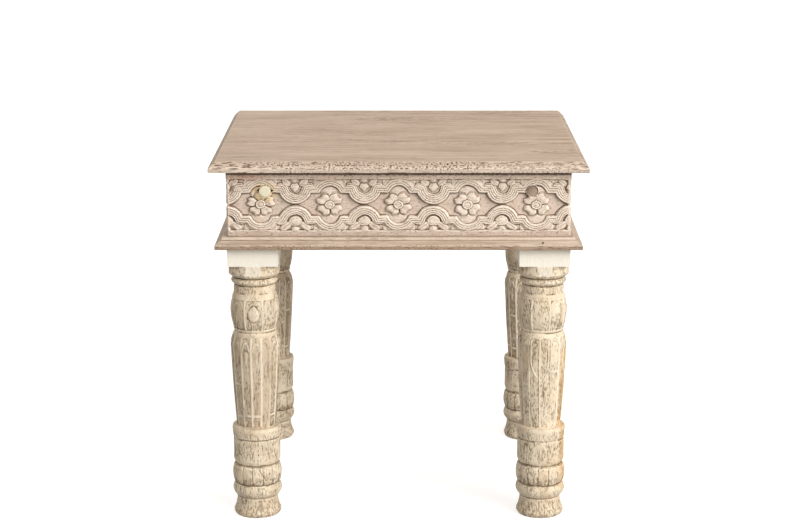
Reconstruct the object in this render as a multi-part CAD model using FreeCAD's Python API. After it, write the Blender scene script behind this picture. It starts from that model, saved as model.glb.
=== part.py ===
import FreeCAD, Part
import math
import os

from FreeCAD import Rotation, Vector

# Side table with a carved apron box on four turned legs.
# Millimetres, +Z up, front towards -Y, origin on the floor under the middle of the top.

# Top: three boards with a bevelled rim
top_wide = 560.0
top_deep = 520.0
top_thick = 16.0
top_overhang = 24.0
top_bevel_wide = 9.5
top_bevel_high = 9.5
top_board_shares = (0.36, 0.33, 0.31)

# Apron boards, mitred at the corners
apron_high = 100.0
apron_thick = 22.0
top_strip = 14.0
bottom_strip = 9.5
carve_deep = 6.0

# Frieze carved in the aprons, one flower to each repeat
frieze_pitch = 102.0
strap_wide = 9.0
lobe_half_share = 0.185
shoulder_end_share = 0.30
lobe_crown_share = 0.90
shoulder_share = 0.64
dip_share = 0.17
petal_radius = 8.6
petal_offset_share = 0.105
petal_drop = 1.2
button_radius = 5.6
bud_radius = 9.0
bud_place_share = 0.52
half_petal_radius = 7.0
half_petal_share = 0.115

# Base frame: four moulded rails, mitred at the corners
rail_thick = 17.0
rail_overhang = 17.0
rail_bead_out = 7.0
rail_bead_high = 4.0
rail_bead_round = 2.0
rail_bevel_high = 6.5

# Legs: a square block above turned members, heights from the floor up
block_side = 76.0
foot_high = 26.0
neck_high = 4.0
torus_high = 20.5
ring_high = 34.0
cup_high = 38.5
band_high = 20.0
shaft_high = 122.0
crown_high = 27.0
bulb_high = 60.0
fillet_high = 12.0
bead_high = 11.5
round_high = 21.5
block_high = 29.0

# Radii of the turned members
sole_radius = 33.5
foot_radius = 36.4
foot_waist_radius = 32.9
neck_radius = 31.6
torus_radius = 37.5
torus_notch_radius = 34.9
ring_radius = 37.8
ring_notch_radius = 34.2
cup_radius = 36.0
band_radius = 36.4
rim_radius = 37.4
shaft_low_radius = 30.2
shaft_mid_radius = 34.5
shaft_radius = 37.4
shaft_notch_radius = 31.5
bulb_radius = 37.8
fillet_radius = 31.8
fillet_notch_radius = 29.7
bead_radius = 35.5
bead_notch_radius = 31.5
round_radius = 39.5
round_swell_radius = 37.0

# Heights within a turned member, as shares of that member
foot_swell_share = 0.3
foot_waist_share = 0.66
torus_swell_share = 0.68
cup_round_share = 0.38
rim_share = 0.72
rim_top_share = 0.95
crown_turn_share = 0.55
crown_radius_share = 0.972
bulb_swell_share = 0.5
fillet_flat_share = 0.8
bead_swell_share = 0.55
round_cove_share = 0.5
round_swell_share = 0.15

# Inner blocks and battens
corner_block_side = 50.0
nut_room = 24.0
batten_wide = 45.0
batten_thick = 18.0
batten_gap = 12.0
top_block_long = 60.0
top_block_side = 22.0

# Wood screws and the plugs over the apron's screw heads
screw_radius = 2.25
screw_head_radius = 4.5
screw_head_high = 2.6
screw_tip_high = 5.0
screw_slot_wide = 1.0
screw_slot_deep = 1.3
screw_clearance = 0.05
plug_radius = 9.0
plug_clearance = 0.1
plug_hole_deep = 10.0
plug_proud = 0.4
plug_sunk = 3.0
plug_place_share = 0.72
plug_height_share = 0.9
block_bite_share = 0.56
top_bite_share = 0.7
apron_bite_share = 0.5
rail_bite_share = 0.28
rail_screw_shares = (-0.3, 0.0, 0.3)

# Bolts that hold the legs
bolt_radius = 5.0
bolt_in_leg = 60.0
bolt_past_nut = 4.0
bolt_tip = 1.0
bolt_clearance = 0.5
thread_clearance = 0.05
washer_radius = 14.0
washer_thick = 2.5
nut_across_flats = 17.0
nut_high = 8.4

# Cutting tools reach this far past the face that they cut
overrun = 1.0

# Places worked out from the sizes above
turned_heights = (foot_high, neck_high, torus_high, ring_high, cup_high, band_high, shaft_high,
                  crown_high, bulb_high, fillet_high, bead_high, round_high)
turned_high = sum(turned_heights)
leg_high = turned_high + block_high
apron_bottom = leg_high + rail_thick
apron_top = apron_bottom + apron_high
table_high = apron_top + top_thick
apron_wide = top_wide - 2 * top_overhang
apron_deep = top_deep - 2 * top_overhang
inner_wide = apron_wide - 2 * apron_thick
inner_deep = apron_deep - 2 * apron_thick
rail_inside = apron_thick + corner_block_side
leg_x = (apron_wide - block_side) / 2
leg_y = (apron_deep - block_side) / 2
corner_block_high = apron_high - nut_room
plug_from_end = apron_thick + corner_block_side * plug_place_share
plug_z = apron_bottom + corner_block_high * plug_height_share
batten_x = inner_wide / 2 - corner_block_side - batten_gap - batten_wide / 2

up = Vector(0, 0, 1)
front = Vector(0, -1, 0)
corners = {"front_left": (-1, -1), "front_right": (1, -1), "rear_left": (-1, 1), "rear_right": (1, 1)}
sides = ("front", "right", "rear", "left")


def box(wide, deep, high, x, y, z):
    """A box centred on x and y that stands on z."""
    return Part.makeBox(wide, deep, high, Vector(x - wide / 2, y - deep / 2, z))


def rod(radius, high, x, y, z):
    return Part.makeCylinder(radius, high, Vector(x, y, z), up)


def outline(start, steps):
    """A closed face from steps of one point (a line) or two points (an arc through the first)."""
    edges = []
    here = start
    for step in steps:
        end = step[-1]
        if len(step) == 2:
            edges.append(Part.Arc(here, step[0], end).toShape())
        else:
            edges.append(Part.LineSegment(here, end).toShape())
        here = end
    if here != start:
        edges.append(Part.LineSegment(here, start).toShape())
    return Part.Face(Part.Wire(edges))


def polygon(points):
    return Part.Face(Part.makePolygon(points + [points[0]]))


def turned(start, steps):
    return outline(start, steps).revolve(Vector(0, 0, 0), up, 360)


def aimed(shape, direction, place):
    """Turns a shape drawn along +Z to a direction and sets its foot on a place."""
    moved = shape.copy()
    moved.Placement = FreeCAD.Placement(place, Rotation(up, direction))
    return moved


def side_of_table(name, shape):
    """Turns a shape drawn at the front to its own side of the table."""
    moved = shape.copy()
    moved.rotate(Vector(0, 0, 0), up, 360 * sides.index(name) / len(sides))
    return moved


def long_and_half_gap(name):
    """Length of an apron side and the distance from the centre to its outer face."""
    if name in ("front", "rear"):
        return apron_wide, apron_deep / 2
    return apron_deep, apron_wide / 2


def mitre_prism(long, outer, inner, low, high):
    """The space of one side between two mitre planes, from an outer to an inner distance."""
    half = long / 2
    shrink = outer - inner
    points = [Vector(-half, -outer, low), Vector(half, -outer, low),
              Vector(half - shrink, -inner, low), Vector(shrink - half, -inner, low)]
    return polygon(points).extrude(Vector(0, 0, high - low))


def screw_body(long, grow):
    """A countersunk screw along +Z, its head at the far end, grown all round for the hole it fills."""
    shank = screw_radius + grow
    head = screw_head_radius + grow
    steps = [(Vector(shank, 0, screw_tip_high),), (Vector(shank, 0, long - screw_head_high),),
             (Vector(head, 0, long),), (Vector(0, 0, long),)]
    return turned(Vector(0, 0, -grow), steps)


def wood_screw(long):
    slot = box(2 * screw_head_radius, screw_slot_wide, screw_slot_deep, 0, 0, long - screw_slot_deep)
    return screw_body(long, 0).cut(slot)


def screw_hole(long):
    mouth = rod(screw_head_radius + screw_clearance, overrun, 0, 0, long)
    return screw_body(long, screw_clearance).fuse(mouth)


def placed_screws(spots):
    """Screws and their holes from (length, place of the head's face, way out of the head)."""
    screws = []
    holes = []
    for long, head, way in spots:
        tip = head - way * long
        screws.append(aimed(wood_screw(long), way, tip))
        holes.append(aimed(screw_hole(long), way, tip))
    return screws, holes


# Screws of one side of the table, drawn at the front and turned to each side
def apron_screw_spots(name):
    long, gap = long_and_half_gap(name)
    length = apron_thick - plug_hole_deep + corner_block_side * block_bite_share
    spots = []
    for sign in (-1, 1):
        head = Vector(sign * (long / 2 - plug_from_end), plug_hole_deep - gap, plug_z)
        spots.append((length, head, front))
    return spots


def rail_screw_spots(name):
    long, gap = long_and_half_gap(name)
    length = rail_thick + apron_high * rail_bite_share
    spots = []
    for share in rail_screw_shares:
        spots.append((length, Vector(long * share, apron_thick / 2 - gap, leg_high), -up))
    return spots


def top_block_screw_spots(name):
    gap = long_and_half_gap(name)[1] - apron_thick
    half = top_block_side / 2
    shift = top_block_long / 4
    rise = top_block_side + top_thick * top_bite_share
    reach = top_block_side + apron_thick * apron_bite_share
    return [(rise, Vector(shift, half - gap, apron_top - top_block_side), -up),
            (reach, Vector(-shift, top_block_side - gap, apron_top - half), -front)]


def batten_screw_spots():
    length = batten_thick + top_thick * top_bite_share
    spots = []
    for sign in (-1, 1):
        for low, high in board_edges():
            place = Vector(sign * batten_x, batten_screw_y(low, high), apron_top - batten_thick)
            spots.append((length, place, -up))
    return spots


def batten_screw_y(low, high):
    """Middle of the stretch where a board lies over the batten."""
    return (max(low, -inner_deep / 2) + min(high, inner_deep / 2)) / 2


def all_sides(spots_of):
    screws = []
    holes = []
    for name in sides:
        made, cut = placed_screws(spots_of(name))
        screws += [side_of_table(name, one) for one in made]
        holes += [side_of_table(name, one) for one in cut]
    return screws, holes


# Top boards
def board_edges():
    edges = []
    low = -top_deep / 2
    for share in top_board_shares:
        edges.append((low, low + top_deep * share / sum(top_board_shares)))
        low = edges[-1][1]
    return edges


def top_panel():
    lip = box(top_wide, top_deep, top_thick - top_bevel_high, 0, 0, apron_top)
    rims = []
    for inset, level in ((0, table_high - top_bevel_high), (top_bevel_wide, table_high)):
        x = top_wide / 2 - inset
        y = top_deep / 2 - inset
        rims.append(Part.makePolygon([Vector(-x, -y, level), Vector(x, -y, level), Vector(x, y, level),
                                      Vector(-x, y, level), Vector(-x, -y, level)]))
    return lip.fuse(Part.makeLoft(rims, True, True)).removeSplitter()


def top_boards(holes):
    panel = top_panel()
    boards = {}
    for name, (low, high) in zip(("front", "middle", "rear"), board_edges()):
        strip = box(top_wide, high - low, top_thick, 0, (low + high) / 2, apron_top)
        boards["top_board_" + name] = panel.common(strip).cut(holes)
    return boards


# Frieze of an apron, drawn with its middle at the origin and its face at y = 0
def prism(face, drop):
    """A raised piece of the carving that starts a little below the face and roots in the ground."""
    solid = face.extrude(Vector(0, carve_deep + overrun - drop, 0))
    solid.translate(Vector(0, drop, 0))
    return solid


def disc(radius, x, z, drop):
    return Part.makeCylinder(radius, carve_deep + overrun - drop, Vector(x, drop, z), -front)


def arc_strap(x, z, radius, start, end):
    """A strap along an arc, from a start to an end angle in degrees."""

    def at(reach, turn):
        angle = math.radians(turn)
        return Vector(x + reach * math.cos(angle), 0, z + reach * math.sin(angle))

    inner = radius - strap_wide / 2
    outer = radius + strap_wide / 2
    middle = (start + end) / 2
    steps = [(at(outer, start),), (at(outer, middle), at(outer, end)), (at(inner, end),),
             (at(inner, middle), at(inner, start))]
    return prism(outline(at(inner, start), steps), 0)


def flat_strap(start, end, z):
    """A level stretch of strap, a quarter of its width longer at both ends."""
    spare = strap_wide / 4
    half = strap_wide / 2
    points = [Vector(start - spare, 0, z - half), Vector(end + spare, 0, z - half),
              Vector(end + spare, 0, z + half), Vector(start - spare, 0, z + half)]
    return prism(polygon(points), 0)


def strap_repeat(pitch, half_high, way):
    """One repeat of the upper strap (way 1) or of its mirrored lower strap (way -1)."""
    lobe = pitch * lobe_half_share
    reach = pitch * shoulder_end_share
    shoulder = half_high * shoulder_share
    rise = half_high * lobe_crown_share - shoulder
    lobe_radius = (lobe * lobe + rise * rise) / (2 * rise)
    lobe_z = shoulder + rise - lobe_radius
    lobe_turn = math.degrees(math.atan2(shoulder - lobe_z, lobe))
    span = pitch / 2 - reach
    drop = shoulder - half_high * dip_share
    dip_radius = (span * span + drop * drop) / (2 * drop)
    dip_z = shoulder - drop + dip_radius
    dip_turn = math.degrees(math.atan2(dip_z - shoulder, span))
    pieces = [arc_strap(0, way * lobe_z, lobe_radius, way * lobe_turn, way * (180 - lobe_turn))]
    pieces.append(arc_strap(pitch / 2, way * dip_z, dip_radius, way * (180 + dip_turn), way * (360 - dip_turn)))
    pieces.append(flat_strap(lobe, reach, way * shoulder))
    pieces.append(flat_strap(-reach, -lobe, way * shoulder))
    return pieces


def flower(pitch, half_high):
    """Four petals round a button, with a bud in the upper lobe."""
    offset = pitch * petal_offset_share
    petals = [disc(petal_radius, x, z, petal_drop) for x in (-offset, offset) for z in (-offset, offset)]
    return petals + [disc(button_radius, 0, 0, 0), disc(bud_radius, 0, half_high * bud_place_share, petal_drop)]


def half_flower(pitch, half_high, way):
    """Half a flower that grows from a plain strip between two repeats."""
    offset = pitch * half_petal_share
    edge = way * half_high
    places = ((0, edge - way * offset), (-offset, edge), (offset, edge))
    return [disc(half_petal_radius, pitch / 2 + x, z, petal_drop) for x, z in places]


def carved_blank(long):
    """An apron board before its mitres: a sunk field with the raised frieze left standing."""
    half_high = (apron_high - top_strip - bottom_strip) / 2
    field_z = (bottom_strip - top_strip) / 2
    count = max(1, round(long / frieze_pitch))
    pitch = long / count
    board = box(long, apron_thick, apron_high, 0, apron_thick / 2, -apron_high / 2)
    field = box(long + 2 * overrun, carve_deep + overrun, 2 * half_high, 0, (carve_deep - overrun) / 2,
                field_z - half_high)
    repeat = flower(pitch, half_high)
    for way in (-1, 1):
        repeat += strap_repeat(pitch, half_high, way) + half_flower(pitch, half_high, way)
    motif = repeat[0].multiFuse(repeat[1:])
    raised = []
    for index in range(-1, count):
        copy = motif.copy()
        copy.translate(Vector((index - (count - 1) / 2) * pitch, 0, field_z))
        raised.append(copy)
    frieze = raised[0].multiFuse(raised[1:]).common(field)
    return board.cut(field).fuse(frieze).removeSplitter()


def aprons(holes):
    """Four carved boards, mitred, bored for their plugs and screws."""
    made = {}
    for pair in (("front", "rear"), ("left", "right")):
        long, gap = long_and_half_gap(pair[0])
        blank = carved_blank(long)
        blank.translate(Vector(0, -gap, apron_bottom + apron_high / 2))
        board = blank.common(mitre_prism(long, gap, gap - apron_thick, apron_bottom, apron_top))
        board = board.cut(plug_holes(pair[0]))
        for name in pair:
            made[name + "_apron"] = side_of_table(name, board).cut(holes)
    return made


def plug_holes(name):
    holes = []
    for length, head, way in apron_screw_spots(name):
        holes.append(Part.makeCylinder(plug_radius, plug_hole_deep + overrun, head, way))
    return holes


def plugs():
    """Two front plugs, one proud and one sunk, and the rest as a group."""
    made = {}
    others = []
    radius = plug_radius - plug_clearance
    for name in sides:
        spots = apron_screw_spots(name)
        for label, change, (length, head, way) in zip(("left", "right"), (plug_proud, -plug_sunk), spots):
            long = plug_hole_deep + (change if name == "front" else 0)
            plug = side_of_table(name, Part.makeCylinder(radius, long, head, way))
            if name == "front":
                made["front_plug_" + label] = plug
            else:
                others.append(plug)
    made["side_and_rear_plugs"] = Part.makeCompound(others)
    return made


# Base frame
def base_rails(holes):
    """Moulded rails whose outer edge has a bead, a bevel and a lip."""
    made = {}
    for name in sides:
        long, gap = long_and_half_gap(name)
        outer = gap + rail_overhang
        half = long / 2 + rail_overhang
        bead = gap + rail_bead_out
        lip_z = apron_bottom - rail_bead_high - rail_bevel_high
        turn = rail_bead_round * (1 - math.sqrt(0.5))
        steps = [(Vector(-half, -outer, leg_high),), (Vector(-half, -outer, lip_z),),
                 (Vector(-half, -bead, apron_bottom - rail_bead_high),),
                 (Vector(-half, -bead, apron_bottom - rail_bead_round),),
                 (Vector(-half, turn - bead, apron_bottom - turn),
                  Vector(-half, rail_bead_round - bead, apron_bottom)),
                 (Vector(-half, rail_inside - gap, apron_bottom),)]
        bar = outline(Vector(-half, rail_inside - gap, leg_high), steps).extrude(Vector(2 * half, 0, 0))
        rail = bar.common(mitre_prism(2 * half, outer, gap - rail_inside, leg_high, apron_bottom))
        made["base_rail_" + name] = side_of_table(name, rail).cut(holes)
    return made


# Legs
def leg_solid():
    """Turned members below a square block: a turned blank cut by the square it came from."""
    levels = [0]
    for high in turned_heights:
        levels.append(levels[-1] + high)
    (sole_z, foot_z, neck_z, torus_z, ring_z, cup_z, band_z, shaft_z, crown_z, bulb_z, fillet_z,
     bead_z, round_z) = levels

    def at(radius, z):
        return Vector(radius, 0, z)

    def part_way(low, high, share):
        return low + (high - low) * share

    steps = [
        (at(sole_radius, sole_z),),
        (at(foot_radius, part_way(sole_z, foot_z, foot_swell_share)),),
        (at(foot_waist_radius, part_way(sole_z, foot_z, foot_waist_share)), at(neck_radius, foot_z)),
        (at(neck_radius, neck_z),),
        (at(torus_radius, part_way(neck_z, torus_z, torus_swell_share)), at(torus_notch_radius, torus_z)),
        (at(ring_radius, (torus_z + ring_z) / 2), at(ring_notch_radius, ring_z)),
        (at(cup_radius, part_way(ring_z, cup_z, cup_round_share)),),
        (at(cup_radius, cup_z),),
        (at(band_radius, cup_z),),
        (at(rim_radius, part_way(cup_z, band_z, rim_share)),),
        (at(band_radius, part_way(cup_z, band_z, rim_top_share)),),
        (at(shaft_low_radius, band_z),),
        (at(shaft_mid_radius, (band_z + shaft_z) / 2), at(shaft_radius, shaft_z)),
        (at(shaft_radius * crown_radius_share, part_way(shaft_z, crown_z, crown_turn_share)),
         at(shaft_notch_radius, crown_z)),
        (at(bulb_radius, part_way(crown_z, bulb_z, bulb_swell_share)), at(fillet_radius, bulb_z)),
        (at(fillet_radius, part_way(bulb_z, fillet_z, fillet_flat_share)),),
        (at(fillet_notch_radius, fillet_z),),
        (at(bead_radius, part_way(fillet_z, bead_z, bead_swell_share)), at(bead_notch_radius, bead_z)),
        (at(round_swell_radius, part_way(bead_z, round_z, round_swell_share)),
         at(round_radius, part_way(bead_z, round_z, round_cove_share))),
        (at(round_radius, round_z),),
        (at(block_side, round_z),),
        (at(block_side, leg_high),),
        (at(0, leg_high),),
    ]
    return turned(Vector(0, 0, 0), steps).common(box(block_side, block_side, leg_high, 0, 0, 0))


def legs():
    made = {}
    leg = leg_solid().cut(rod(bolt_radius + thread_clearance, bolt_in_leg + overrun, 0, 0, leg_high - bolt_in_leg))
    for name, (x, y) in corners.items():
        copy = leg.copy()
        copy.translate(Vector(x * leg_x, y * leg_y, 0))
        made["leg_" + name] = copy
    return made


# Inner blocks, battens and leg bolts
def corner_blocks(holes):
    made = {}
    side = corner_block_side
    for name, (x, y) in corners.items():
        made["corner_block_" + name] = box(side, side, corner_block_high, x * (inner_wide - side) / 2,
                                           y * (inner_deep - side) / 2, apron_bottom).cut(holes)
    return made


def battens(holes):
    made = {}
    for name, sign in (("left", -1), ("right", 1)):
        bar = box(batten_wide, inner_deep, batten_thick, sign * batten_x, 0, apron_top - batten_thick)
        made["top_batten_" + name] = bar.cut(holes)
    return made


def top_blocks(holes):
    made = {}
    for name in sides:
        gap = long_and_half_gap(name)[1] - apron_thick
        block = box(top_block_long, top_block_side, top_block_side, 0, top_block_side / 2 - gap,
                    apron_top - top_block_side)
        made["top_block_" + name] = side_of_table(name, block).cut(holes)
    return made


def bolt_holes():
    holes = []
    for x, y in corners.values():
        holes.append(rod(bolt_radius + bolt_clearance, rail_thick + corner_block_high + 2 * overrun, x * leg_x,
                         y * leg_y, leg_high - overrun))
    return holes


def leg_hardware():
    """Hanger bolts through rail and block, with a washer and a hexagon nut on each."""
    washer_z = apron_bottom + corner_block_high
    nut_z = washer_z + washer_thick
    bolt_top = nut_z + nut_high + bolt_past_nut
    foot = leg_high - bolt_in_leg
    bolts = []
    washers = []
    nuts = []
    for x, y in corners.values():
        place = Vector(x * leg_x, y * leg_y, 0)
        shank = rod(bolt_radius, bolt_top - bolt_tip - foot, place.x, place.y, foot)
        tip = Part.makeCone(bolt_radius, bolt_radius - bolt_tip, bolt_tip, place + up * (bolt_top - bolt_tip), up)
        bolts.append(shank.fuse(tip))
        hole = rod(bolt_radius + bolt_clearance, washer_thick, place.x, place.y, washer_z)
        washers.append(rod(washer_radius, washer_thick, place.x, place.y, washer_z).cut(hole))
        reach = nut_across_flats / math.sqrt(3)
        turns = [math.radians(60 * step) for step in range(6)]
        points = [place + Vector(reach * math.cos(a), reach * math.sin(a), nut_z) for a in turns]
        bore = rod(bolt_radius + thread_clearance, nut_high, place.x, place.y, nut_z)
        nuts.append(polygon(points).extrude(Vector(0, 0, nut_high)).cut(bore))
    groups = (("leg_bolts", bolts), ("leg_washers", washers), ("leg_nuts", nuts))
    return {name: Part.makeCompound(solids) for name, solids in groups}


def table():
    apron_screws, apron_holes = all_sides(apron_screw_spots)
    rail_screws, rail_holes = all_sides(rail_screw_spots)
    block_screws, block_holes = all_sides(top_block_screw_spots)
    batten_screws, batten_holes = placed_screws(batten_screw_spots())
    shafts = bolt_holes()
    nodes = {}
    nodes.update(top_boards(batten_holes + block_holes))
    nodes.update(battens(batten_holes))
    nodes.update(top_blocks(block_holes))
    nodes.update(aprons(apron_holes + rail_holes + block_holes))
    nodes.update(plugs())
    nodes.update(base_rails(rail_holes + shafts))
    nodes.update(corner_blocks(apron_holes + shafts))
    nodes.update(legs())
    nodes.update(leg_hardware())
    nodes["apron_screws"] = Part.makeCompound(apron_screws)
    nodes["base_rail_screws"] = Part.makeCompound(rail_screws)
    nodes["top_block_screws"] = Part.makeCompound(block_screws)
    nodes["batten_screws"] = Part.makeCompound(batten_screws)
    return nodes


os.makedirs("parts", exist_ok=True)
for node, shape in table().items():
    shape.exportStep("parts/" + node + ".step")
    print(node, len(shape.Solids), shape.isValid(), round(shape.Volume / 1000))
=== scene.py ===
import math
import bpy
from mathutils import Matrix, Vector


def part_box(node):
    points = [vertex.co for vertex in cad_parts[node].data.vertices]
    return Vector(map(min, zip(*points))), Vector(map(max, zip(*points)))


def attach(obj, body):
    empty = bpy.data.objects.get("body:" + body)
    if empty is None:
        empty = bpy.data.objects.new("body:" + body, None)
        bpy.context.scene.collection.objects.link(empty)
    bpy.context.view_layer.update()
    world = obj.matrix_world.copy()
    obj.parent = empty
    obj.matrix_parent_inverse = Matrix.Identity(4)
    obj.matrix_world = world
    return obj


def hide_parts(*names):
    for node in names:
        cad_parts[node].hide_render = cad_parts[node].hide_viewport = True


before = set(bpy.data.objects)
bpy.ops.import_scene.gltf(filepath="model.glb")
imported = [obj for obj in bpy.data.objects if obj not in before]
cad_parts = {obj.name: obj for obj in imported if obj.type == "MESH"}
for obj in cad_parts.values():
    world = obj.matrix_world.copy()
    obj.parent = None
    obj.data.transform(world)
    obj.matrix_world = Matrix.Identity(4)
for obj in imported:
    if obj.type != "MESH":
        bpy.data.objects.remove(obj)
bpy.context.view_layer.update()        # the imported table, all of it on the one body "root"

from types import SimpleNamespace

import bpy
import numpy as np
from mathutils import Matrix, Vector

sideTurns = {"front": 0, "right": 90, "rear": 180, "left": 270}     # degrees about the upright
legCorners = ("front_left", "front_right", "rear_left", "rear_right")
fullTurn = 2 * math.pi
print("frame loaded:", len(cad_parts), "nodes")


# Node sums: a Field is one socket that takes part in plain arithmetic
class Field:
    def __init__(self, tree, socket):
        self.tree = tree
        self.socket = socket

    def math(self, operation, *others):
        node = self.tree.nodes.new("ShaderNodeMath")
        node.operation = operation
        for slot, item in zip(node.inputs, (self, *others)):
            plugIn(self.tree, item, slot)
        return Field(self.tree, node.outputs[0])

    def __add__(self, other):
        return self.math("ADD", other)

    def __sub__(self, other):
        return self.math("SUBTRACT", other)

    def __rsub__(self, other):
        return (self * -1) + other

    def __mul__(self, other):
        return self.math("MULTIPLY", other)

    def __truediv__(self, other):
        return self.math("DIVIDE", other)

    def __pow__(self, other):
        return self.math("POWER", other)

    def __neg__(self):
        return self * -1

    def __abs__(self):
        return self.math("ABSOLUTE")

    __radd__ = __add__
    __rmul__ = __mul__

    def low(self, other):
        return self.math("MINIMUM", other)

    def high(self, other):
        return self.math("MAXIMUM", other)

    def root(self):
        return self.high(0).math("SQRT")

    def wrap(self, span):           # runs from -span/2 to span/2 and starts again
        return self.math("WRAP", span * 0.5, span * -0.5)

    def ramp(self, start, end, low=0.0, high=1.0):      # a soft step between two values
        node = self.tree.nodes.new("ShaderNodeMapRange")
        node.interpolation_type = "SMOOTHSTEP"
        for slot, item in zip(node.inputs[:5], (self, start, end, low, high)):
            plugIn(self.tree, item, slot)
        return Field(self.tree, node.outputs[0])


def plugIn(tree, item, slot):
    if isinstance(item, Field):
        tree.links.new(item.socket, slot)
    elif isinstance(item, bpy.types.NodeSocket):
        tree.links.new(item, slot)
    else:
        slot.default_value = item


def addNode(tree, kind, values=None, **settings):
    node = tree.nodes.new(kind)
    for name, value in settings.items():
        setattr(node, name, value)
    for name, value in (values or {}).items():
        plugIn(tree, value, node.inputs[name])
    return node


def vector(tree, x, y, z):
    node = addNode(tree, "ShaderNodeCombineXYZ", {"X": x, "Y": y, "Z": z})
    return Field(tree, node.outputs[0])


def parts(tree, source):
    node = addNode(tree, "ShaderNodeSeparateXYZ", {0: source})
    return [Field(tree, socket) for socket in node.outputs]


def stretched(tree, source, stretch):
    node = addNode(tree, "ShaderNodeVectorMath", {0: source, 1: stretch}, operation="MULTIPLY")
    return Field(tree, node.outputs[0])


def noise(tree, source, scale, detail=2.0, seed=0.0, roughness=0.5):
    values = {"Vector": source, "W": seed, "Scale": scale, "Detail": detail, "Roughness": roughness}
    node = addNode(tree, "ShaderNodeTexNoise", values, noise_dimensions="4D")
    return Field(tree, node.outputs[0])


def streaked(tree, source, stretch, detail, seed, roughness=0.5):       # noise scaled by axis
    return noise(tree, stretched(tree, source, stretch), 1.0, detail, seed, roughness)


def chance(tree, place, seed):      # one steady random number for each place
    values = {"Vector": place, "W": seed}
    node = addNode(tree, "ShaderNodeTexWhiteNoise", values, noise_dimensions="4D")
    return Field(tree, node.outputs[0])


def dome(square, height):       # a rounded swelling where the squared reach is under 1
    return (1 - square).root() * height


def oval(x, z, wide, high):
    return (x / wide) ** 2 + (z / high) ** 2


# Geometry trees: each starts from a blank mesh and ends in Realize Instances and Set Material
def newTree(name, sizes):
    tree = bpy.data.node_groups.new(name, "GeometryNodeTree")
    tree.is_modifier = True
    tree.interface.new_socket("Geometry", in_out="INPUT", socket_type="NodeSocketGeometry")
    for title, value in sizes.items():
        kind = "NodeSocketInt" if isinstance(value, int) else "NodeSocketFloat"
        tree.interface.new_socket(title, in_out="INPUT", socket_type=kind).default_value = value
    tree.interface.new_socket("Finish", in_out="INPUT", socket_type="NodeSocketMaterial")
    tree.interface.new_socket("Geometry", in_out="OUTPUT", socket_type="NodeSocketGeometry")
    start = tree.nodes.new("NodeGroupInput")
    size = {title: Field(tree, start.outputs[title]) for title in sizes}
    place = addNode(tree, "GeometryNodeInputPosition").outputs[0]
    return tree, start, size, place


def moveBy(tree, start, offset):
    values = {"Geometry": start.outputs["Geometry"], "Offset": offset}
    return addNode(tree, "GeometryNodeSetPosition", values).outputs[0]


def keep(tree, geometry, fields):       # each field stored on the points under its own name
    for title, value in fields.items():
        values = {"Geometry": geometry, "Name": title, "Value": value}
        node = addNode(tree, "GeometryNodeStoreNamedAttribute", values, data_type="FLOAT", domain="POINT")
        geometry = node.outputs["Geometry"]
    return geometry


def recall(tree, title):
    node = addNode(tree, "GeometryNodeInputNamedAttribute", {"Name": title}, data_type="FLOAT")
    return Field(tree, node.outputs["Attribute"])


def keepHollows(tree, geometry, height, scales):    # how far a point lies below or above its neighbours
    hollow = ridge = None
    for reach, rounds in scales:
        values = {"Value": height, "Iterations": rounds}
        blurred = addNode(tree, "GeometryNodeBlurAttribute", values, data_type="FLOAT")
        gap = (Field(tree, blurred.outputs[0]) - height) / reach
        hollow = gap if hollow is None else hollow.high(gap)
        ridge = gap * -1 if ridge is None else ridge.high(gap * -1)
    return keep(tree, geometry, {"hollow": hollow.high(0).low(1), "ridge": ridge.high(0).low(1)})


def closeTree(tree, start, geometry):
    real = addNode(tree, "GeometryNodeRealizeInstances", {"Geometry": geometry})
    values = {"Geometry": real.outputs[0], "Material": start.outputs["Finish"]}
    coated = addNode(tree, "GeometryNodeSetMaterial", values)
    end = tree.nodes.new("NodeGroupOutput")
    tree.links.new(coated.outputs[0], end.inputs[0])
    return tree


def grow(name, blank, tree, values):        # the blank mesh with the tree run on it, as a plain mesh
    maker = bpy.data.objects.new(name + "Blank", blank)
    bpy.context.collection.objects.link(maker)
    modifier = maker.modifiers.new("shape", "NODES")
    modifier.node_group = tree
    for item in tree.interface.items_tree:
        if item.in_out == "INPUT" and item.name in values:
            modifier[item.identifier] = values[item.name]
    ready = bpy.context.evaluated_depsgraph_get()
    done = maker.evaluated_get(ready)
    mesh = bpy.data.meshes.new_from_object(done, preserve_all_data_layers=True, depsgraph=ready)
    maker.modifiers.remove(modifier)
    bpy.data.objects.remove(maker)
    bpy.data.meshes.remove(blank)
    return mesh


def makeMesh(name, points, faces, coords, marks):
    mesh = bpy.data.meshes.new(name)
    mesh.from_pydata(points, [], faces)
    mesh.attributes.new("grainPlace", "FLOAT_VECTOR", "POINT").data.foreach_set("vector", np.ravel(coords))
    mesh.attributes.new("worked", "FLOAT", "POINT").data.foreach_set("value", np.ravel(marks))
    return mesh


def shiftGrain(mesh, gap):      # so that no two boards share their grain
    for item in mesh.attributes["grainPlace"].data:
        item.vector.z += gap


def setPiece(name, mesh, place, nodes, crease=50):
    mesh.transform(place)
    mesh.polygons.foreach_set("use_smooth", [True] * len(mesh.polygons))
    mesh.set_sharp_from_angle(angle=math.radians(crease))
    mesh.name = name
    piece = bpy.data.objects.new(name, mesh)
    bpy.context.collection.objects.link(piece)
    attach(piece, "root")
    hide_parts(*nodes)
    return piece


def tubeFaces(rows, ring):      # faces between closed rings of points, and a cap at each end
    faces = []
    for row in range(rows - 1):
        for k in range(ring):
            a = row * ring + k
            b = row * ring + (k + 1) % ring
            faces.append((a, b, b + ring, a + ring))
    last = (rows - 1) * ring
    faces.append(tuple(reversed(range(ring))))
    faces.append(tuple(range(last, last + ring)))
    return faces


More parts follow.
